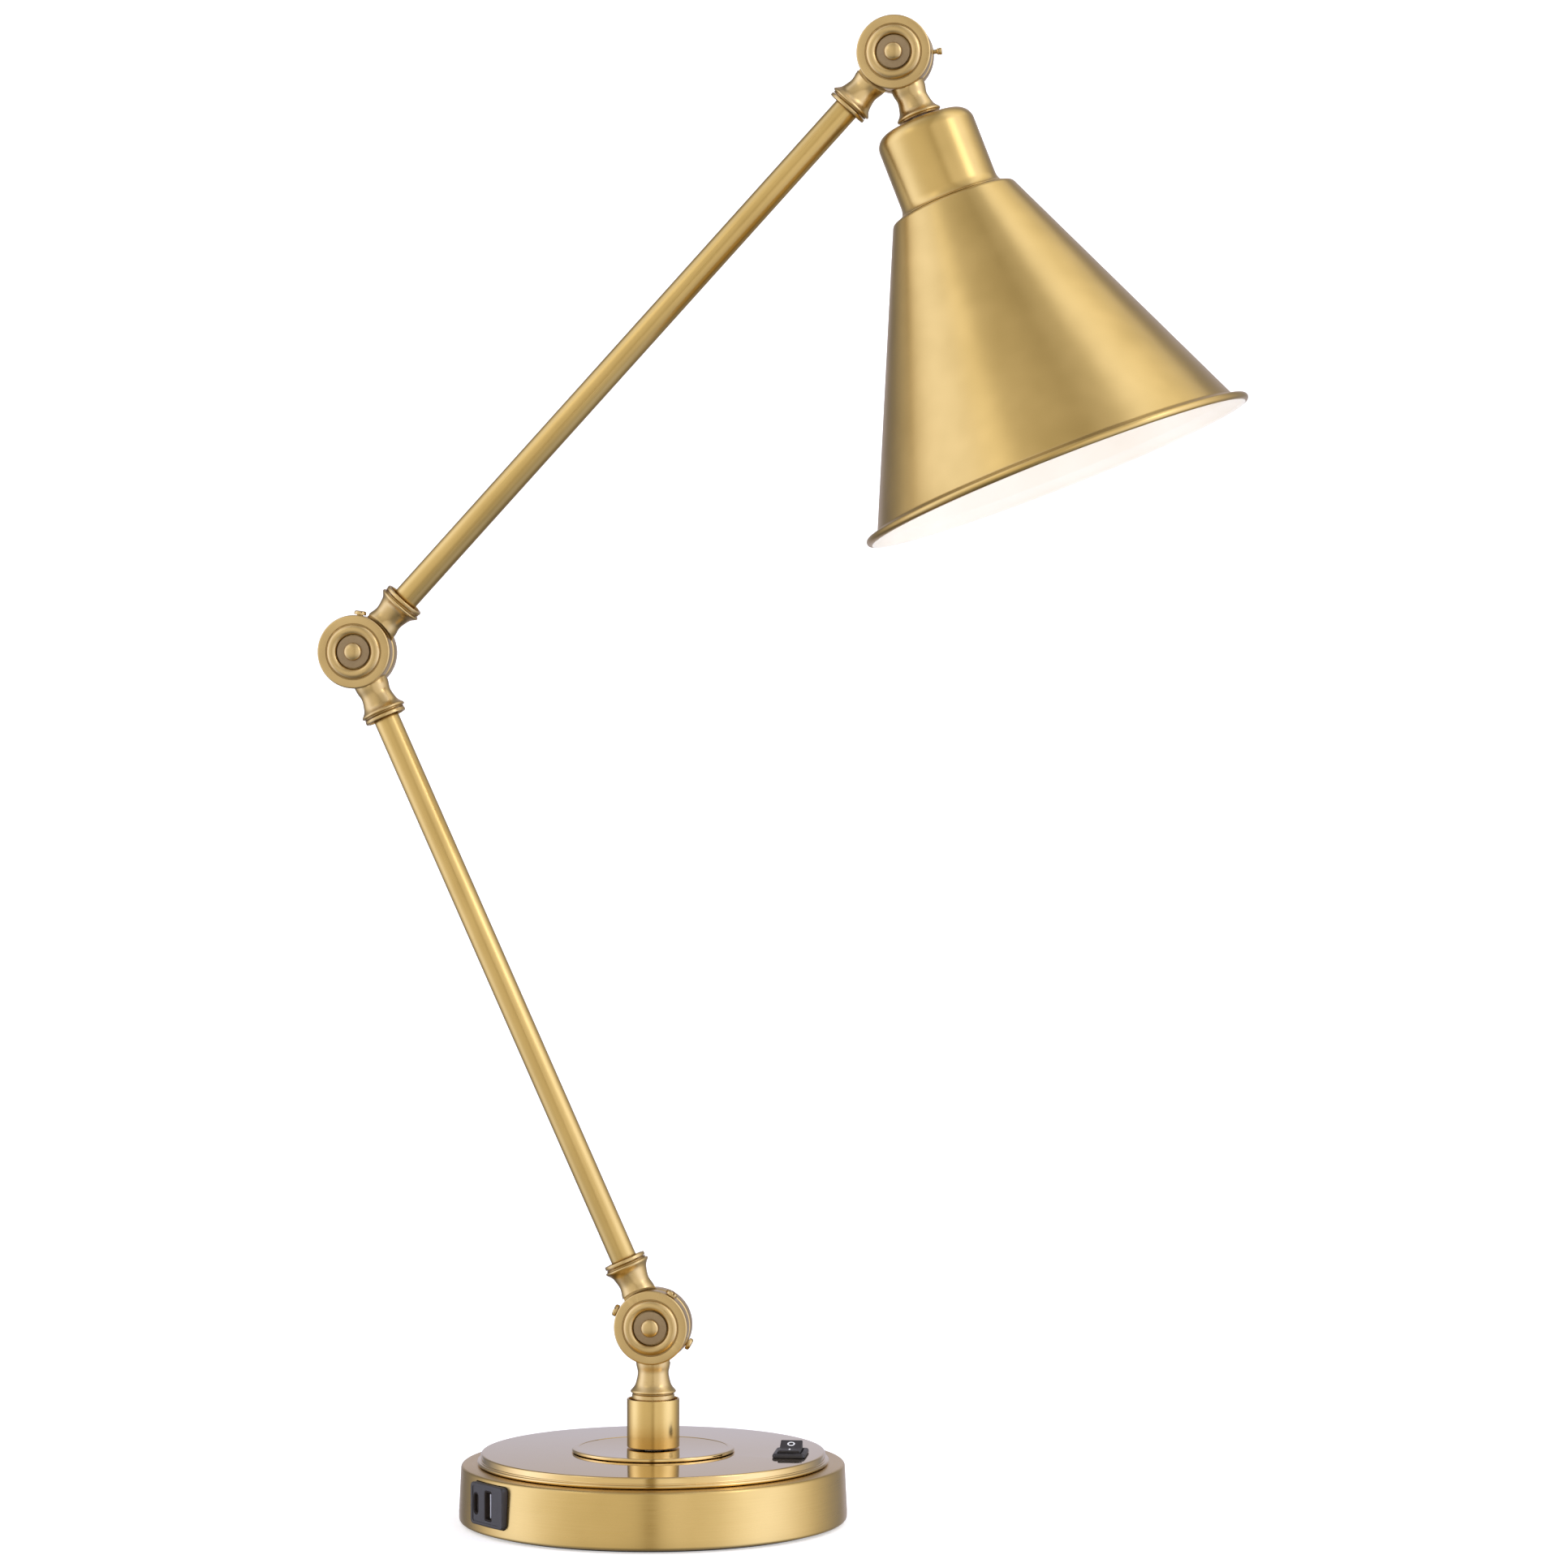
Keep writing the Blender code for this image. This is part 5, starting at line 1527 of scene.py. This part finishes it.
@dataclass
class Studio:
    """A pale floor that turns up all round, what the metal reflects, three soft lights and the camera."""

    camera_turn: float = 7.2
    camera_distance: float = 2139.65
    camera_height: float = 358.16
    camera_side: float = 60.15
    lens: float = 106.78
    frame_drop: float = -0.0267
    floor_radius: float = 4600.0
    floor_turn: float = 1500.0
    floor_glow: float = 0.45
    wall_height: float = 4200.0
    skin: float = 20.0
    aim: float = 350.0
    brightest: float = 2.65
    wall_share: float = 0.625
    walls: tuple[Point, ...] = (
        (-180, 0.35), (-166, 0.31), (-152, 0.13), (-140, 0.17), (-126, 0.34), (-114, 0.60), (-102, 0.84),
        (-90, 0.97), (-78, 0.91), (-66, 0.74), (-54, 0.64), (-40, 0.58), (-20, 0.56), (-5, 0.53), (-2, 0.25),
        (2, 0.25), (5, 0.60), (14, 0.68), (26, 0.62), (42, 0.70), (54, 0.87), (66, 0.97), (78, 0.97),
        (90, 0.84), (102, 0.67), (114, 0.47), (126, 0.34), (138, 0.24), (150, 0.18), (164, 0.32), (180, 0.35),
    )
    layers: tuple[Point, ...] = (
        (-90, 0.25), (-45, 0.42), (-28, 0.75), (-10, 1.0), (26, 1.0), (42, 0.8), (65, 0.68), (90, 0.55),
    )

    def build(self) -> None:
        """Builds the stage, the lights and the camera."""
        self.sweep()
        self.surroundings()
        self.lights()
        self.camera()

    def sweep(self) -> None:
        """The floor, which turns up into a wall all round."""
        radius, top, skin = self.floor_radius, self.wall_height, self.skin
        mesh = turned(rounded([
            (0, 0, 0), (radius, 0, self.floor_turn), (radius, top, 0), (radius + skin, top, 0),
            (radius + skin, -skin, 0), (0, -skin, 0),
        ], 24), CHEEK_FACES)
        floor = bpy.data.objects.new("sweep", mesh)
        bpy.context.scene.collection.objects.link(floor)
        graph = Graph("pale_floor")
        floor.data.materials.append(graph.dress(
            Base_Color=(0.8, 0.8, 0.8, 1.0), Roughness=0.9, Specular_IOR_Level=0.0,
            Emission_Color=(1.0, 1.0, 1.0, 1.0), Emission_Strength=self.floor_glow,
        ))
        floor.visible_glossy = False

    def surroundings(self) -> None:
        """What the metal reflects: soft walls of light at the sides, dim corners, and a dim floor."""
        world = bpy.data.worlds.new("studio")
        world.use_nodes = True
        tree = world.node_tree
        place = tree.nodes.new("ShaderNodeTexCoord").outputs["Generated"]
        bearing = math.radians(self.camera_turn)
        towards = self.share_of(tree, place, (math.sin(bearing), -math.cos(bearing), 0))
        rightwards = self.share_of(tree, place, (math.cos(bearing), math.sin(bearing), 0))
        upwards = self.share_of(tree, place, (0, 0, 1))
        around = tree.nodes.new("ShaderNodeMath")
        around.operation = "ARCTAN2"
        tree.links.new(rightwards, around.inputs[0])
        tree.links.new(towards, around.inputs[1])
        sides = self.bands(tree, around.outputs[0], -math.pi, math.pi, [
            (0.5 + azimuth / 360, self.tint(azimuth, strength)) for azimuth, strength in self.walls
        ])
        heights = self.bands(tree, upwards, -1, 1, [
            (0.5 + 0.5 * math.sin(math.radians(elevation)), (strength,) * 3)
            for elevation, strength in self.layers
        ])
        both = tree.nodes.new("ShaderNodeVectorMath")
        both.operation = "MULTIPLY"
        tree.links.new(sides, both.inputs[0])
        tree.links.new(heights, both.inputs[1])
        sky = tree.nodes["Background"]
        tree.links.new(both.outputs[0], sky.inputs[0])
        sky.inputs[1].default_value = self.brightest
        bpy.context.scene.world = world

    def share_of(
        self, tree: bpy.types.NodeTree, place: bpy.types.NodeSocket, way: Colour
    ) -> bpy.types.NodeSocket:
        """How far a direction points along another one."""
        facing = tree.nodes.new("ShaderNodeVectorMath")
        facing.operation = "DOT_PRODUCT"
        tree.links.new(place, facing.inputs[0])
        facing.inputs[1].default_value = way
        return facing.outputs["Value"]

    def bands(
        self, tree: bpy.types.NodeTree, value: bpy.types.NodeSocket, low: float, high: float,
        stops: Sequence[tuple[float, Colour]],
    ) -> bpy.types.NodeSocket:
        """Colours that follow a value.

        Args:
            tree: The world's nodes.
            value: The value.
            low: The value at the first stop's end.
            high: The value at the last stop's end.
            stops: Where each colour is, from 0 to 1, and the colour.

        Returns:
            The colour socket.
        """
        share = tree.nodes.new("ShaderNodeMapRange")
        share.inputs["From Min"].default_value = low
        share.inputs["From Max"].default_value = high
        tree.links.new(value, share.inputs["Value"])
        ramp = tree.nodes.new("ShaderNodeValToRGB")
        tree.links.new(share.outputs[0], ramp.inputs[0])
        elements = ramp.color_ramp.elements
        while len(elements) < len(stops):
            elements.new(0.5)
        for element, (at, colour) in zip(elements, stops):
            element.position = at
            element.color = (*colour, 1.0)
        return ramp.outputs[0]

    def tint(self, azimuth: float, strength: float) -> Colour:
        """The colour of a part of the walls: cool where they are brightest, warm in the gap at the camera."""
        bright = strength * self.wall_share
        if abs(azimuth) < 4:
            return (bright, 0.85 * bright, 0.6 * bright)
        if abs(azimuth) > 155:
            return (bright, 0.95 * bright, 1.07 * bright)
        cool = max(0.0, strength - 0.56) / 0.41
        return (bright, (0.97 + 0.11 * cool) * bright, (1 + 0.55 * cool) * bright)

    def lights(self) -> None:
        """Two small softboxes that put a glint on the edges, and a wide one high on the right."""
        target = Vector((0, 0, self.aim))
        for name, azimuth, distance, height, size, radiance in (
            ("key_softbox", -52, 1900, 1700, (700, 700), 0.7),
            ("rim_softbox", 60, 2000, 1500, (600, 900), 2.0),
            ("top_softbox", 108, 1200, 2300, (1700, 1700), 0.6),
        ):
            bearing = math.radians(self.camera_turn + azimuth)
            place = Vector((distance * math.sin(bearing), -distance * math.cos(bearing), height))
            light = bpy.data.lights.new(name, "AREA")
            light.shape = "RECTANGLE"
            light.size, light.size_y = (side * MM for side in size)
            light.energy = radiance * math.pi * light.size * light.size_y
            lamp = bpy.data.objects.new(name, light)
            lamp.location = place * MM
            lamp.rotation_euler = (target - place).to_track_quat("-Z", "Y").to_euler()
            lamp.visible_camera = False
            bpy.context.scene.collection.objects.link(lamp)

    def camera(self) -> None:
        """The level camera, a little to the right of the front."""
        bearing = math.radians(self.camera_turn)
        data = bpy.data.cameras.new("camera")
        data.lens = self.lens
        data.shift_y = self.frame_drop
        camera = bpy.data.objects.new("camera", data)
        side, back = self.camera_side, self.camera_distance
        camera.location = Vector((
            side * math.cos(bearing) + back * math.sin(bearing),
            side * math.sin(bearing) - back * math.cos(bearing),
            self.camera_height,
        )) * MM
        camera.rotation_euler = (math.pi / 2, 0, bearing)
        bpy.context.scene.collection.objects.link(camera)
        bpy.context.scene.camera = camera
        bpy.context.scene.view_settings.view_transform = "Standard"


def main() -> None:
    """Builds the lamp and its studio."""
    logging.basicConfig(level=logging.INFO, format="%(message)s")
    shop = Workshop()
    shop.dress_frame()
    Lamp(shop).build()
    Studio().build()
    LOG.info("%d pieces", len(shop.made))


if __name__ == "__main__":
    main()
